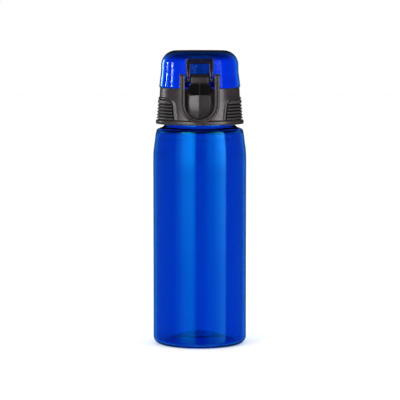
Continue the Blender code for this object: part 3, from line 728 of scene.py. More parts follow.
def make_spout(material):
    seat, under = DECK_TOP + 0.3, DECK_BOTTOM - 0.3
    profile = rounded([
        (SPOUT_BORE_R, SPOUT_TOP, 1.2), (SPOUT_R, SPOUT_TOP, 1.0), (SPOUT_R, SPOUT_TOP - 3.2, 0.4),
        (SPOUT_R - 0.5, SPOUT_TOP - 3.8, 0.4), (SPOUT_R - 0.5, seat + 3.2, 1.2), (SPOUT_R, seat + 1.4, 1.0),
        (10.0, seat + 1.2, 0.5), (10.0, seat), (6.7, seat, 0.2), (6.7, under, 0.2),
        (7.4, under - 0.3, 0.2), (6.7, under - 1.6, 0.3), (SPOUT_BORE_R, under - 1.6, 0.3),
    ])
    spout = turned("mouthpiece", profile, SMALL_ROUND, (0.0, SPOUT_Y))
    dress(spout, "cap", material, "inner_plastic", "drink_spout")


def make_vent(material):
    seat, under = DECK_TOP + 0.3, DECK_BOTTOM - 0.3
    profile = rounded([
        (0.0, seat + 0.8), (0.9, seat + 0.8, 0.3), (1.2, seat + 1.15, 0.3), (2.3, seat + 1.0, 0.6),
        (3.2, seat + 0.3, 0.2), (3.2, seat), (1.1, seat, 0.2), (1.1, under, 0.2),
        (1.7, under - 0.2, 0.2), (0.7, under - 1.8, 0.3), (0.0, under - 1.8),
    ], closed=False)
    valve = turned("air_vent_valve", profile, SMALL_ROUND, VENT, wrap=False)
    dress(valve, "cap", material, "silicone", "vent_valve")


# The collar


def cone_radius(height):
    """The collar's cone, without its flange and borders."""
    share = (height - CONE_FOOT) / (COLLAR_TOP - CONE_FOOT)
    return mix(CONE_FOOT_R, CONE_TOP_R, share)


def grip_share(height):
    """0 at a grip's foot and 1 at its head."""
    return (height - GRIP_BOTTOM) / (GRIP_TOP - GRIP_BOTTOM)


def grip_crest(height):
    return mix(GRIP_FOOT_R, GRIP_HEAD_R, grip_share(height))


def grip_inner(height):
    """Where a grip's slanting inner side stands, before its rounded corner."""
    return mix(GRIP_FOOT_X, GRIP_HEAD_X, grip_share(height))


def beyond_grip(x, z):
    """How far a point, seen from the front, lies outside a grip's rounded outline."""
    inwards = grip_inner(z) + GRIP_CORNER_R - x
    up = z - (GRIP_TOP - GRIP_CORNER_R)
    reach = sqrt(max(inwards, 0) ** 2 + max(up, 0) ** 2)
    return reach + min(max(inwards, up), 0) - GRIP_CORNER_R


def grip_border(x, z):
    """The smooth arched band that stands round each grip."""
    height, width, slope = 0.9, 1.9, 0.55
    off = beyond_grip(abs(x), z)
    rise = smooth(0.1, 0.1 + slope, off) * (1 - smooth(width - slope, width + 0.5, off))
    return height * rise * (0.75 + 0.25 * smooth(0.0, 0.5 * width, off))


def collar_outside():
    """Up the outside of the collar: a rounded flange, a hollow fillet, the cone, a rounded top edge."""
    foot = rounded([
        (COLLAR_BORE_R + 1.5, COLLAR_BOTTOM), (FLANGE_R, COLLAR_BOTTOM, 0.7), (FLANGE_R, FLANGE_TOP, 0.7),
        (CONE_FOOT_R + 0.2, FLANGE_TOP + 0.3, 1.0), (cone_radius(178.0), 178.0),
    ], closed=False)
    levels = [178.0 + 0.22 * i for i in range(1, 100)]
    cone = [(cone_radius(z), z) for z in levels if z < COLLAR_TOP - 1.0]
    top = rounded([
        (cone_radius(COLLAR_TOP - 0.9), COLLAR_TOP - 0.9), (CONE_TOP_R, COLLAR_TOP, 0.8),
        (LIP_R, COLLAR_TOP, 0.3), (LIP_R, 199.0, 0.3), (COLLAR_BORE_R, 199.0, 0.2),
        (COLLAR_BORE_R, COLLAR_BOTTOM, 0.3),
    ])
    return foot + cone + top


def collar_ring(radius, height, steps):
    """One ring of the collar, with the grips' borders raised and the button's pocket cut flat."""
    loop = []
    for i in range(steps):
        angle = tau * i / steps
        r = radius
        if CONE_FOOT < height < COLLAR_TOP - 1.5 and radius > COLLAR_BORE_R:
            r += grip_border(radius * cos(angle), height)
        x, y = r * cos(angle), r * sin(angle)
        if y < POCKET_FLOOR and abs(x) < POCKET_HALF and height > POCKET_CENTRE - POCKET_HALF:
            y = POCKET_FLOOR
        loop.append((x, y, height))
    return loop


def make_collar(material):
    steps = 288
    loops = [collar_ring(r, z, steps) for r, z in collar_outside()]
    collar = loft("collar_shell", loops, wrap=True, sharp=50)
    relief = rod("hinge-relief", 3.1, *across(HINGE, COLLAR_KNUCKLE[0] - 0.1), 0.1, 48)
    combine(collar, [relief], "DIFFERENCE", 50)
    dress(collar, "cap", material, "collar_plastic", "collar")


def u_path():
    """Stations down one ear, round the bottom and up the other, as functions of the share outwards."""
    ear = [EAR_TOP - step for step in (0.0, 0.15, 0.4, 0.8, 1.3, 2.0, 2.8, 3.6)]
    side = [EAR_TOP - 4.5 - 1.1 * i for i in range(18)]
    down = [(-1, z) for z in ear + side]
    up = [(1, z) for z in reversed(ear + side)]
    around = [radians(180 + 180 * i / 48) for i in range(49)]

    def upright(side_of, z):
        return lambda share: (side_of * mix(POCKET_HALF, BEZEL_HALF, share), z)

    def bend(angle):
        def place(share):
            radius = mix(POCKET_HALF, BEZEL_HALF, share)
            return radius * cos(angle), mix(POCKET_CENTRE, BEZEL_CENTRE, share) + radius * sin(angle)
        return place

    left = [upright(*p) for p in down if p[1] > BEZEL_CENTRE + 0.3]
    right = [upright(*p) for p in up if p[1] > BEZEL_CENTRE + 0.3]
    return left + [bend(angle) for angle in around] + right


def bezel_front(z):
    """The bezel's front plane: it leans back at the foot and rounds over at the ears' tops."""
    lean = 1.2 * smooth(BEZEL_CENTRE - BEZEL_HALF + 4.0, BEZEL_CENTRE - BEZEL_HALF - 1.0, z)
    start = EAR_TOP - EAR_ROUND
    over = EAR_ROUND - sqrt(max(EAR_ROUND**2 - max(z - start, 0) ** 2, 0.0))
    return BEZEL_FRONT + lean + over


def bezel_back(x, z):
    """Rooted in the collar's wall, and standing clear of the lid above it."""
    rooted = -sqrt(max((cone_radius(max(z, CONE_FOOT)) - 1.1) ** 2 - x * x, 1.0))
    return mix(rooted, EAR_BACK, smooth(COLLAR_TOP - 0.6, COLLAR_TOP, z))


def bezel_section():
    """Across the bezel, as (share outwards, depth behind the front plane). It has two round ridges."""
    return flowing([
        (0.0, 1.3), (0.02, 0.5), (0.10, 0.08), (0.22, 0.0), (0.34, 0.15), (0.42, 0.6), (0.48, 1.0),
        (0.54, 1.0), (0.60, 0.6), (0.70, 0.25), (0.82, 0.15), (0.93, 0.3), (0.98, 0.7), (1.0, 1.4),
    ], 3)


def make_bezel(material):
    section = bezel_section()
    loops = []
    for place in u_path():
        loop = []
        for share, depth in section:
            x, z = place(share)
            loop.append((x, bezel_front(z) + depth, z))
        for share in (1.0, 0.5, 0.0):
            x, z = place(share)
            loop.append((x, bezel_back(x, z), z))
        loops.append(loop)
    bezel = loft("button_bezel", loops, sharp=45)
    blind = BEZEL_HALF - 1.1
    bores = (("rocker-bore", ROCKER, ROCKER_BORE_R), ("bail-bore", BAIL_PIVOT, BAIL_BORE_R))
    cuts = [rod(name, radius, *across(place, blind), 0.1) for name, place, radius in bores]
    combine(bezel, cuts, "DIFFERENCE", 45)
    dress(bezel, "cap", material, "collar_plastic", "collar")


def make_collar_knuckle(side, material):
    """A gusset with a round eye, one on each side of the lid's own knuckles."""
    outline = rounded([
        (28.4, 191.4), (31.7, 191.4, 0.8), (35.9, 198.6, 3.0), (36.0, 200.6),
    ], closed=False)
    eye = arc((HINGE.y, HINGE.z), KNUCKLE_R, -18, 170, 18)
    outline = outline[:-1] + eye + [(30.9, COLLAR_TOP - 0.3), (28.4, COLLAR_TOP - 0.3)]
    near, far = COLLAR_KNUCKLE
    start, end = (near, far) if side > 0 else (-far, -near)
    name = "hinge_ear_right" if side > 0 else "hinge_ear_left"
    knuckle = slab(name, outline, start, end, 0.5)
    bore = rod("ear-bore", HINGE_BORE_R, *across(HINGE, FAR), 0.1)
    combine(knuckle, [bore], "DIFFERENCE")
    dress(knuckle, "cap", material, "collar_plastic", "collar")


# The grips


def rib_radius(height):
    """Rounded ribs with dark narrow grooves between them, on a pad that is thicker at its foot."""
    laps = (TOP_GROOVE - height) / GROOVE_PITCH
    nearest = min(max(round(laps), 0), GROOVES - 1)
    off = abs(laps - nearest) * GROOVE_PITCH
    groove = 1 - smooth(0.5 * GROOVE_HALF, GROOVE_HALF, off)
    fall = 0.22 * smooth(1.2, 0.5, off)
    return grip_crest(height) - max(GROOVE_DEPTH * groove, fall)


def grip_edge(height):
    """Where the grip begins, seen from the front."""
    up = max(height - (GRIP_TOP - GRIP_CORNER_R), 0.0)
    return grip_inner(height) + GRIP_CORNER_R - sqrt(max(GRIP_CORNER_R**2 - up * up, 0.0))


def grip_loop(height, side):
    """One level of a grip: out along its ribs and back along the collar's cone."""
    bed = cone_radius(height) + 0.1
    top = rib_radius(height)
    half = acos(min(grip_edge(height) / bed, 1.0))
    rim = 0.5
    ease = sqrt(max(1 - (1 - min((GRIP_TOP - height) / rim, 1.0)) ** 2, 0.0))
    shares = [-1, -0.995, -0.985, -0.97, -0.95] + [i / 40 for i in range(-37, 38)]
    shares += [0.95, 0.97, 0.985, 0.995, 1]
    loop = []
    for share in shares:
        angle = half * share
        off = (half - abs(angle)) * bed
        full = sqrt(max(1 - (1 - min(off / rim, 1.0)) ** 2, 0.0))
        radius = bed + (top - bed) * full * ease
        loop.append((side * radius * cos(angle), radius * sin(angle), height))
    for share in reversed(shares[::4]):
        angle = half * share
        loop.append((side * bed * cos(angle), bed * sin(angle), height))
    return loop


# Painted shade: the grooves between the ribs are painted dark.
def grip_groove_painted_shade(x, y, z):
    return smooth(0.08, 0.30, grip_crest(z) - sqrt(x * x + y * y))


def make_grip(side, material):
    name = "grip_right" if side > 0 else "grip_left"
    node = "grip_pad_right" if side > 0 else "grip_pad_left"
    count = 132
    levels = [mix(GRIP_BOTTOM, GRIP_TOP - 0.02, i / count) for i in range(count + 1)]
    grip = loft(name, [grip_loop(z, side) for z in levels], sharp=60)
    store_painted_shade(grip, grip_groove_painted_shade)
    dress(grip, "cap", material, "grip_rubber", node)


# The lid


def lid_outside():
    """Down the outside of the dome."""
    middle_r, middle_z = LID_WAIST_R - LID_CORNER_R, LID_TOP - LID_CORNER_R
    crown = [(0.0, LID_TOP), (6.0, LID_TOP - 0.02), (12.0, LID_TOP - 0.05)]
    crown += arc((middle_r, middle_z), LID_CORNER_R, 86, 0, 22)
    skirt = flowing([
        (LID_WAIST_R, middle_z), (30.25, 215.0), (30.6, 211.0), (31.2, 206.5), (31.6, 203.0),
    ])
    edge = rounded([(31.6, 203.0), (31.65, LID_BOTTOM, 1.0), (30.4, LID_BOTTOM)], closed=False)
    return crown + skirt[1:-1] + edge[:-1]


def lid_inside():
    """Up the inside of the dome."""
    middle_r, middle_z = LID_WAIST_R - LID_CORNER_R, LID_TOP - LID_CORNER_R
    inner = LID_WAIST_R - WALL
    edge = rounded([(30.2, LID_BOTTOM), (29.45, LID_BOTTOM, 0.3), (29.45, 203.0)], closed=False)
    skirt = flowing([(29.4, 203.0), (29.0, 206.5), (28.4, 211.0), (28.05, 215.0), (inner, middle_z)])
    crown = arc((middle_r, middle_z), LID_CORNER_R - WALL, 0, 90, 18)
    return edge + skirt[1:-1] + crown + [(10.0, LID_TOP - WALL), (0.0, LID_TOP - WALL)]


def lid_knuckle(name, start, end):
    eye = arc((HINGE.y, HINGE.z), KNUCKLE_R, 190, 405, 22)
    return slab(name, [*eye, (31.0, 208.6), (29.4, 209.6), (29.6, 202.9)], start, end, 0.35)


def block(name, low, high, edge):
    """A small block with rounded rims."""
    outline = rounded([
        (low[1], low[2], edge), (high[1], low[2], edge), (high[1], high[2], edge), (low[1], high[2], edge),
    ], steps=3)
    return slab(name, outline, low[0], high[0], edge)


def crown_painted_shade(x, y, z):
    """Painted shade: the blue is painted darker over the crown."""
    return smooth(LID_TOP - 8.2, LID_TOP - 0.7, z)


def make_lid(material):
    lid = turned("lid_shell", lid_outside() + lid_inside(), wrap=False, sharp=50)
    near, far = LID_KNUCKLE
    combine(lid, [
        lid_knuckle("knuckle-right", near, far),
        lid_knuckle("knuckle-left", -far, -near),
        block("catch", (-5.0, -32.2, 202.6), (5.0, -30.4, 205.0), 0.3),
        block("nub", (-2.5, -30.8, 217.2), (2.5, -29.2, 219.0), 0.4),
    ], "UNION", 50)
    combine(lid, [
        rod("hinge-bore", HINGE_BORE_R, *across(HINGE, FAR), 0.1),
        rod("spring-relief", KNUCKLE_R, *across(HINGE, near - 0.2), 0.1),
    ], "DIFFERENCE", 50)
    store_painted_shade(lid, crown_painted_shade)
    dress(lid, "lid", material, "blue_lid", "lid_dome")


def make_carrier(material):
    floor, wall = CARRIER_TOP - 2.8, 1.4
    profile = rounded([
        (0.0, CARRIER_TOP), (CARRIER_R, CARRIER_TOP, 0.8), (CARRIER_R, CARRIER_BOTTOM + 2.4, 0.2),
        (CARRIER_R - 0.35, CARRIER_BOTTOM + 2.1, 0.1), (CARRIER_R - 0.35, CARRIER_BOTTOM, 0.4),
        (CARRIER_R - wall, CARRIER_BOTTOM, 0.4), (CARRIER_R - wall, floor, 0.6), (0.0, floor),
    ], closed=False)
    carrier = turned("seal_cup", profile, SMALL_ROUND, (0.0, SPOUT_Y), wrap=False)
    dress(carrier, "lid", material, "carrier_plastic", "seal_carrier")


def make_spout_seal(material):
    face = SPOUT_TOP + 0.3
    profile = rounded([
        (0.0, 224.3), (5.0, 224.3, 0.4), (5.0, face + 3.4, 0.6), (9.2, face + 3.0, 0.6),
        (9.2, face, 0.5), (6.6, face, 0.3), (6.4, face + 0.4, 0.2), (5.4, face + 0.4, 0.2),
        (4.7, face, 0.3), (4.2, face - 2.2, 0.9), (0.0, face - 2.2),
    ], closed=False)
    seal = turned("spout_plug", profile, SMALL_ROUND, (0.0, SPOUT_Y), wrap=False)
    dress(seal, "lid", material, "silicone", "spout_seal")


# Pins and springs


def make_pins(material, front_material):
    hinge_half = corner("hinge_pin", HIGH, X)
    rocker_half = corner("button_pin", HIGH, X)
    hinge = rod("hinge_rod", PIN_R, *across(HINGE, hinge_half), 0.25)
    rocker = rod("rocker_rod", ROCKER_PIN_R, *across(ROCKER, rocker_half), 0.2)
    dress(hinge, "cap", material, "steel", "hinge_pin")
    dress(rocker, "cap", front_material, "steel", "button_pin")
    for side, tag in ((-1, "left"), (1, "right")):
        node = f"bail_pin_{tag}"
        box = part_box(node)
        start = Vector((box[LOW].x / MM, BAIL_PIVOT.y, BAIL_PIVOT.z))
        end = Vector((box[HIGH].x / MM, BAIL_PIVOT.y, BAIL_PIVOT.z))
        dress(rod(f"bail_stub_{tag}", BAIL_PIN_R, start, end, 0.25), "cap", front_material, "steel", node)


def helix(centre, radius, start, end, turns, steps, axis):
    """Points on a coil along X or Y, from start to end on that axis."""
    points = []
    count = round(turns * steps)
    for i in range(count + 1):
        angle = tau * i / steps
        along = mix(start, end, i / count)
        a, b = radius * cos(angle), radius * sin(angle)
        if axis == X:
            points.append(Vector((along, centre.y + a, centre.z + b)))
        else:
            points.append(Vector((centre.x + a, along, centre.z + b)))
    return points


def make_lid_spring(material):
    """The coil and its lower leg stay on the collar. The upper leg goes with the lid."""
    coil_r, radius, half = 1.8, 0.32, 3.6
    back = HINGE.y + coil_r
    coil = helix(HINGE, coil_r, -half, half, 5, 28, X)
    lower = flowing([(-half, back - 2.4, 194.6), (-half, back - 0.9, 196.4), (-half, back, 199.0)], 6)
    dress(wire("hinge_coil", lower + coil, radius), "cap", material, "steel", "lid_spring")
    upper = flowing([(half, back, HINGE.z), (half, back - 0.1, 204.6), (half, back - 1.8, 207.2),
                     (half, back - 3.1, 209.4)], 6)
    dress(wire("hinge_coil_leg", upper, radius), "lid", material, "steel")


def make_button_spring(material):
    low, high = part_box("button_spring")
    radius = 0.25
    start, end = high.y / MM - radius, low.y / MM + radius
    centre = Vector((0.0, 0.0, (low.z + high.z) / 2 / MM))
    coil_r = high.x / MM - radius
    spring = wire("return_coil", helix(centre, coil_r, start, end, 3, 28, Y), radius)
    dress(spring, "cap", material, "steel", "button_spring")
    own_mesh(spring)


# The button

HALF_WIDTHS = [
    (178.3, 0.0), (178.35, 1.6), (178.6, 2.9), (179.2, 4.2), (180.2, 5.5), (181.6, 6.6), (183.4, 7.5),
    (186.0, 8.2), (189.0, 8.6), (192.5, 8.7), (194.6, 8.45), (196.4, 8.2), (198.4, 8.6), (200.4, 9.1),
    (201.8, 9.2), (203.0, 8.8), (204.0, 7.4), (204.5, 6.8), (212.4, 6.8),
]
BACKS = [
    (177.0, -34.2), (193.4, -34.2), (196.2, -31.9), (200.6, -31.9), (201.8, -33.4), (205.4, -33.4),
    (205.8, -32.6), (213.0, -32.6),
]


def petal_front(share, x, z):
    """The pressed petal: two faces that meet on a low keel, hollowed a little towards the foot."""
    keel, groove_half, groove = 1.9, 0.28, 0.16
    away = keel * abs(share) ** 1.15
    low = smooth(186.0, 179.5, z)
    groove_half, groove = mix(groove_half, 1.7, low), mix(groove, 0.9, low)
    slit = groove * (1 - smooth(groove_half * 0.1, groove_half, abs(x)))
    foot = 0.9 * smooth(185.0, 178.3, z)
    bulge = 0.25 * sin(pi * smooth(179.0, 196.0, z))
    return BEZEL_FRONT + 0.35 + away * 0.85 + foot - bulge + slit


def recess_front(share, x, z):
    """The dished block between the petal and the head, with a fine rib down its middle."""
    rib = 0.15 * (1 - smooth(0.15, 0.4, abs(x)))
    slope = mix(2.0, 1.0, smooth(PETAL_TOP, HEAD_BOTTOM, z))
    return BEZEL_FRONT + slope + 0.35 * (1 - share * share) - rib


def head_front(share, x, z):
    """The latch head: its upper third leans back, and a shallow notch marks the middle of its foot."""
    lean = 2.6 * max(z - 209.7, 0.0) / (HEAD_TOP - 209.7)
    notch = 0.7 * (1 - smooth(1.0, 1.5, abs(x))) * (1 - smooth(205.9, 206.2, z))
    return BEZEL_FRONT + 0.65 + lean + notch + 0.25 * share * share


def button_front(share, x, z):
    """Petal, recess and head, joined over short steps. The petal's upper edge is arched."""
    arch = PETAL_TOP - 0.7 * share * share
    into_recess = smooth(arch - 0.15, arch + 0.45, z)
    into_head = smooth(HEAD_BOTTOM - 0.35, HEAD_BOTTOM + 0.05, z)
    front = mix(petal_front(share, x, z), recess_front(share, x, z), into_recess)
    return mix(front, head_front(share, x, z), into_head)


def button_loop(z):
    half = max(reading(HALF_WIDTHS, z), 0.05)
    back = reading(BACKS, z)
    rim = min(0.7, half * 0.6)
    top = 0.5
    ease = top - sqrt(max(top * top - max(z - (HEAD_TOP - top), 0.0) ** 2, 0.0))
    count = 44
    edges = [-1, -0.992, -0.97, -0.94]
    middle = [i / count for i in range(-count + 4, count - 3, 2)]
    shares = edges + middle + [-share for share in reversed(edges)]
    loop = []
    for share in shares:
        x = half * share
        off = half - abs(x)
        round_off = rim - sqrt(max(rim * rim - max(rim - off, 0.0) ** 2, 0.0))
        y = button_front(share, x, z) + round_off + ease
        loop.append((x, min(y, back - 0.4), z))
    for share in (1, 0.5, 0, -0.5, -1):
        loop.append((half * share, back, z))
    return loop


def button_painted_shade(x, y, z):
    """Painted shade on the button: its dished middle but for the fine rib, the notch at its foot, the
    petal's right half, the head's sloping top and a line along the head's foot."""
    above_petal = smooth(PETAL_TOP - 0.3, PETAL_TOP + 0.3, z)
    dish = above_petal * (1 - smooth(HEAD_BOTTOM - 0.3, HEAD_BOTTOM, z))
    rib = 0.4 * (1 - smooth(0.1, 0.5, abs(x)))
    notch = (1 - smooth(180.0, 184.0, z)) * (1 - smooth(0.2, 1.3, abs(x)))
    right = smooth(0.0, 0.8, x) * (1 - above_petal)
    brow = smooth(209.6, 210.2, z)
    line_top = 1 - smooth(HEAD_BOTTOM + 0.6, HEAD_BOTTOM + 1.0, z)
    line = smooth(HEAD_BOTTOM, HEAD_BOTTOM + 0.2, z) * line_top
    return max(dish * (1 - rib), 0.85 * notch, 0.45 * right, 0.75 * brow, 0.8 * line)


def make_button(material):
    step = 0.16
    count = int((HEAD_TOP - BUTTON_FOOT) / step)
    levels = [BUTTON_FOOT + 0.03, BUTTON_FOOT + 0.08]
    levels += [BUTTON_FOOT + step * i for i in range(1, count)]
    levels += [HEAD_TOP - 0.12, HEAD_TOP - 0.03]
    button = loft("release_rocker", [button_loop(z) for z in levels], sharp=45)
    combine(button, [rod("button-bore", ROCKER_BORE_R, *across(ROCKER, FAR), 0.1)], "DIFFERENCE", 45)
    store_painted_shade(button, button_painted_shade)
    dress(button, "button", material, "button_plastic", "release_button")


# The bail


def bail_edges():
    """The bail's inner and outer edges, point for point, from the left foot over the top to the right."""
    inner_top, corner_in, corner_out = BAIL_REACH - BAIL_BAR, 0.7, 1.8
    rises = [-BAIL_EYE_R + BAIL_EYE_R * (1 - cos(pi / 2 * i / 8)) for i in range(8)]
    rises += [0.35 * i for i in range(8)] + [3.0 + 1.0 * i for i in range(8)]
    legs = [((BAIL_WINDOW, h), (BAIL_HALF, h)) for h in rises if h < inner_top - corner_in]
    turn = 12
    inner = arc((BAIL_WINDOW - corner_in, inner_top - corner_in), corner_in, 0, 90, turn)
    outer = arc((BAIL_HALF - corner_out, BAIL_REACH - corner_out), corner_out, 0, 90, turn)
    bar = []
    for i in range(1, 13):
        share = 1 - i / 12
        dip = 0.35 * (1 - smooth(0.05, 0.13, share))
        bulge = 0.25 * (1 - share * share)
        bar.append((((BAIL_WINDOW - corner_in) * share, inner_top + bulge),
                    ((BAIL_HALF - corner_out) * share, BAIL_REACH - 0.3 * share * share - dip)))
    right = legs + list(zip(inner, [(x, h - 0.3 * smooth(8.0, 6.0, x)) for x, h in outer])) + bar
    left = [((-a, b), (-c, d)) for (a, b), (c, d) in reversed(right[:-1])]
    return right + left


def bail_half_thickness(height):
    """A round eye at the foot, which flows into a flat leg."""
    eye = sqrt(max(BAIL_EYE_R**2 - height * height, 0.0)) if abs(height) < BAIL_EYE_R else 0.0
    if height <= 0:
        return max(eye, 0.03)
    return max(eye, BAIL_THICK / 2)


def bail_section(height):
    """Across a bar, as (share outwards, share of the half thickness). It is rounder at its foot."""
    count, power = 32, mix(0.85, 0.36, smooth(3.0, 9.0, height))
    points = []
    for i in range(count):
        angle = tau * i / count
        c, s = cos(angle), sin(angle)
        points.append((
            0.5 + 0.5 * abs(c) ** power * (1 if c > 0 else -1),
            abs(s) ** power * (1 if s > 0 else -1),
        ))
    return points


def make_bail(material):
    lean = Matrix.Translation(BAIL_PIVOT) @ Matrix.Rotation(-BAIL_LEAN, 4, "X")
    loops = []
    for inner, outer in bail_edges():
        inner, outer = Vector(inner), Vector(outer)
        loop = []
        for share, depth in bail_section(inner.y):
            x, height = inner.lerp(outer, share)
            loop.append(lean @ Vector((x, depth * bail_half_thickness(height), height)))
        loops.append(loop)
    bail = loft("lock_ring", loops, sharp=50)
    combine(bail, [rod("eye-bore", BAIL_BORE_R, *across(BAIL_PIVOT, FAR), 0.1)], "DIFFERENCE", 50)
    dress(bail, "bail", material, "bail_plastic", "lock_bail")


# The studio


def make_floor():
    """A pale seamless floor that fades into the pale background far out."""
    radius, fade_start = 6.0, 2.0
    bpy.ops.mesh.primitive_circle_add(vertices=96, radius=radius, fill_type="NGON")
    floor = bpy.context.object
    floor.name = "floor"
    look = Look("pale_floor")
    shade = look.cloudy((0.955, 0.955, 0.95), (0.975, 0.975, 0.97), 40.0, 4.0)
    look.link(shade.outputs["Result"], look.shader.inputs["Base Color"])
    look.put(Roughness=0.9, Specular_IOR_Level=0.1)
    distance = look.node("ShaderNodeVectorMath", operation="LENGTH")
    look.link(look.place, distance.inputs[0])
    away = look.spread(distance.outputs["Value"], 0, 1, fade_start, radius * 0.95)
    look.open_by(away)
    floor.data.materials.append(look.material)
    floor.visible_glossy = False


# What shine and clear plastic see round the bottle, as (degrees to the right of the camera, brightness)
SOFTBOXES = [
    (-180, 0.0), (-160, 0.0), (-130, 0.03), (-66, 0.08), (-58, 1.1), (-34, 4.8), (-22, 5.8), (-14, 3.8),
    (-8, 0.03), (8, 0.03), (30, 1.9), (48, 4.2), (56, 6.0), (65, 6.0), (71, 0.06), (130, 0.03), (160, 0.0),
    (180, 0.0),
]
# What light that has come through clear plastic sees besides
BACKDROP = [(-180, 1.0), (-140, 1.0), (-110, 0.35), (110, 0.35), (140, 1.0), (180, 1.0)]
# How much of the softboxes is left at each height, as (degrees above the horizon, share)
SOFTBOX_HEIGHTS = [
    (-90, 0.2), (-30, 0.22), (-8, 0.4), (-5, 0.67), (-3, 1.0), (22, 1.0), (40, 0.1), (90, 0.03),
]
GLOOM = 0.03  # the least that shine and clear plastic see


class Sky(Nodes):
    """The world under construction."""

    def __init__(self):
        world = bpy.data.worlds.new("studio")
        bpy.context.scene.world = world
        world.use_nodes = True
        self.tree = world.node_tree
        self.tree.nodes.clear()

    def profile(self, source, half_turn, marks):
        """A value read off a curve of (degrees, value) by an angle in radians."""
        share = self.node("ShaderNodeMapRange")
        share.inputs["From Min"].default_value = -half_turn
        share.inputs["From Max"].default_value = half_turn
        self.link(source, share.inputs["Value"])
        brightest = max(value for place, value in marks)
        ramp = self.node("ShaderNodeValToRGB")
        ramp.color_ramp.interpolation = "EASE"
        elements = ramp.color_ramp.elements
        for place, value in marks[1:-1]:
            elements.new(0.5 + radians(place) / (2 * half_turn))
        for element, (place, value) in zip(elements, marks):
            element.color = (*[value / brightest] * 3, 1.0)
        self.link(share.outputs["Result"], ramp.inputs["Fac"])
        return self.maths("MULTIPLY", ramp.outputs["Color"], brightest)


def make_world():
    """White to the camera. Shine and clear plastic see a studio that turns with the camera."""
    sky = Sky()
    coordinates = sky.node("ShaderNodeTexCoord")
    seen, upright = sky.node("ShaderNodeSeparateXYZ"), sky.node("ShaderNodeSeparateXYZ")
    sky.link(coordinates.outputs["Camera"], seen.inputs["Vector"])
    sky.link(coordinates.outputs["Generated"], upright.inputs["Vector"])
    back = sky.maths("MULTIPLY", seen.outputs["Z"], -1.0)
    round_about = sky.maths("ARCTAN2", seen.outputs["X"], back)
    height = sky.maths("ARCSINE", upright.outputs["Z"])
    path = sky.node("ShaderNodeLightPath")

    boxes = sky.maths("MULTIPLY", sky.profile(round_about, pi, SOFTBOXES),
                      sky.profile(height, pi / 2, SOFTBOX_HEIGHTS))
    through = sky.maths("MULTIPLY", sky.profile(round_about, pi, BACKDROP),
                        path.outputs["Is Transmission Ray"])
    studio = sky.maths("ADD", boxes, sky.maths("ADD", through, GLOOM))

    plain = sky.maths("MAXIMUM", path.outputs["Is Camera Ray"], path.outputs["Is Diffuse Ray"])
    strength = sky.node("ShaderNodeMix", data_type="FLOAT")
    sky.link(plain, strength.inputs["Factor"])
    sky.link(studio, strength.inputs["A"])
    strength.inputs["B"].default_value = 1.0
    light = sky.node("ShaderNodeBackground")
    light.inputs["Color"].default_value = (1.0, 1.0, 1.0, 1.0)
    sky.link(strength.outputs["Result"], light.inputs["Strength"])
    sky.link(light.outputs["Background"], sky.node("ShaderNodeOutputWorld").inputs["Surface"])


def add_lamp(name, place, aim, size, brightness):
    """A rectangular softbox that faces its aim. Its power follows from its brightness and size."""
    light = bpy.data.lights.new(name, "AREA")
    light.shape = "RECTANGLE"
    light.size, light.size_y = size
    light.energy = brightness * pi * size[0] * size[1]
    lamp = bpy.data.objects.new(name, light)
    lamp.location = place
    lamp.rotation_euler = (Vector(aim) - Vector(place)).to_track_quat("-Z", "Y").to_euler()
    bpy.context.scene.collection.objects.link(lamp)
    return lamp


def only_on(lamp, pieces):
    """Flags a lamp off everything but the given pieces."""
    group = bpy.data.collections.new(lamp.name + "-receivers")
    for piece in pieces:
        group.objects.link(piece)
    lamp.light_linking.receiver_collection = group


# Narrow lamps that draw the pale lines on the cap: (degrees to the right of the front, width, brightness)
LID_STRIPS = [(-143.0, 0.10, 6.0), (-112.5, 0.035, 34.0), (-88.5, 0.10, 30.0)]
COLLAR_STRIPS = [(-125.0, 0.30, 5.0), (-52.0, 0.20, 2.5), (67.0, 0.20, 3.0)]
COLLAR_PIECES = ["collar_shell", "button_bezel", "grip_left", "grip_right"]


def add_strips(name, strips, pieces):
    """Upright lamps a metre away that shine on the given pieces and only make highlights."""
    away, low, high = 1.0, 0.19, 0.46
    for number, (degrees_right, width, brightness) in enumerate(strips):
        angle = radians(degrees_right)
        place = Vector((away * sin(angle), -away * cos(angle), (low + high) / 2))
        lamp = add_lamp(f"{name}_{number}", place, (0.0, 0.0, place.z), (width, high - low), brightness)
        lamp.data.diffuse_factor = 0.0
        only_on(lamp, [bpy.data.objects[piece] for piece in pieces])


def make_lamps():
    middle = (0.0, 0.0, 0.12)
    add_lamp("key", (-0.9, -1.2, 1.3), middle, (0.9, 0.9), 3.5)
    add_lamp("fill", (1.3, -0.9, 0.9), middle, (0.7, 1.0), 1.0)
    add_strips("lid_strip", LID_STRIPS, ["lid_shell"])
    add_strips("collar_strip", COLLAR_STRIPS, COLLAR_PIECES)


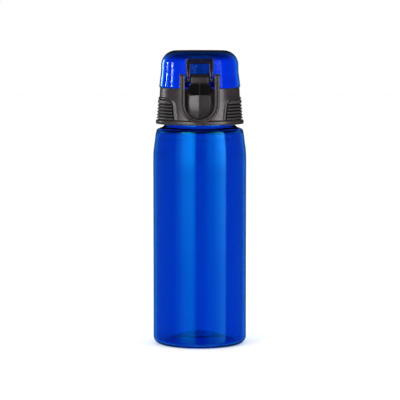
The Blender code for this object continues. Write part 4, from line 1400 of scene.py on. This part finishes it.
def make_camera():
    """A metre and a half off, a little above, and looking slightly down, as in the photograph."""
    distance, pitch, aim = 1.5, radians(5.2), Vector((0.0002, 0.0, 0.1128))
    camera = bpy.data.objects.new("camera", bpy.data.cameras.new("camera"))
    camera.data.sensor_width = 36.0
    camera.data.lens = 171.7
    camera.location = aim + distance * Vector((0.0, -cos(pitch), sin(pitch)))
    camera.rotation_euler = (aim - camera.location).to_track_quat("-Z", "Y").to_euler()
    bpy.context.scene.collection.objects.link(camera)
    bpy.context.scene.camera = camera


def build():
    body_blue = clear_blue("clear_blue_body", (0.010, 0.200, 0.710), (0.01, 0.56, 1.0))
    lid_blue = clear_blue("clear_blue_lid", (0.010, 0.194, 0.887), (0.05, 0.09, 0.13))
    charcoal = moulded("satin_charcoal", (0.017, 0.0140, 0.0150), (0.028, 0.0232, 0.0245), (0.24, 0.32))
    inner = moulded("fine_charcoal", (0.020, 0.019, 0.020), (0.034, 0.033, 0.034), (0.36, 0.50), 0.16)
    button = moulded(
        "button_charcoal", (0.015, 0.0124, 0.0133), (0.026, 0.0215, 0.0228), (0.20, 0.27), 0.18
    )
    black = gloss_black("gloss_black")
    pale = moulded(
        "mid_grey", (0.17, 0.17, 0.18), (0.22, 0.22, 0.23), (0.36, 0.48), 0.16, edge=(0.26, 0.26, 0.26)
    )
    soft = rubber("grip_rubber")
    milky = silicone("milky_silicone")
    drawn = steel("drawn_steel", X, (0.46, 0.46, 0.48), (0.70, 0.70, 0.72))
    blackened = steel("blackened_steel", X, (0.020, 0.020, 0.022), (0.050, 0.050, 0.052))
    make_bottle(body_blue)
    make_gasket(milky)
    make_inner_cap(inner)
    make_spout(inner)
    make_vent(milky)
    make_collar(charcoal)
    make_bezel(charcoal)
    for side in (-1, 1):
        make_collar_knuckle(side, charcoal)
        make_grip(side, soft)
    make_lid(lid_blue)
    make_carrier(pale)
    make_spout_seal(milky)
    make_pins(drawn, blackened)
    make_lid_spring(drawn)
    make_button_spring(drawn)
    make_button(button)
    make_bail(black)


build()
make_floor()
make_world()
make_lamps()
make_camera()
bpy.context.scene.view_settings.view_transform = "Standard"
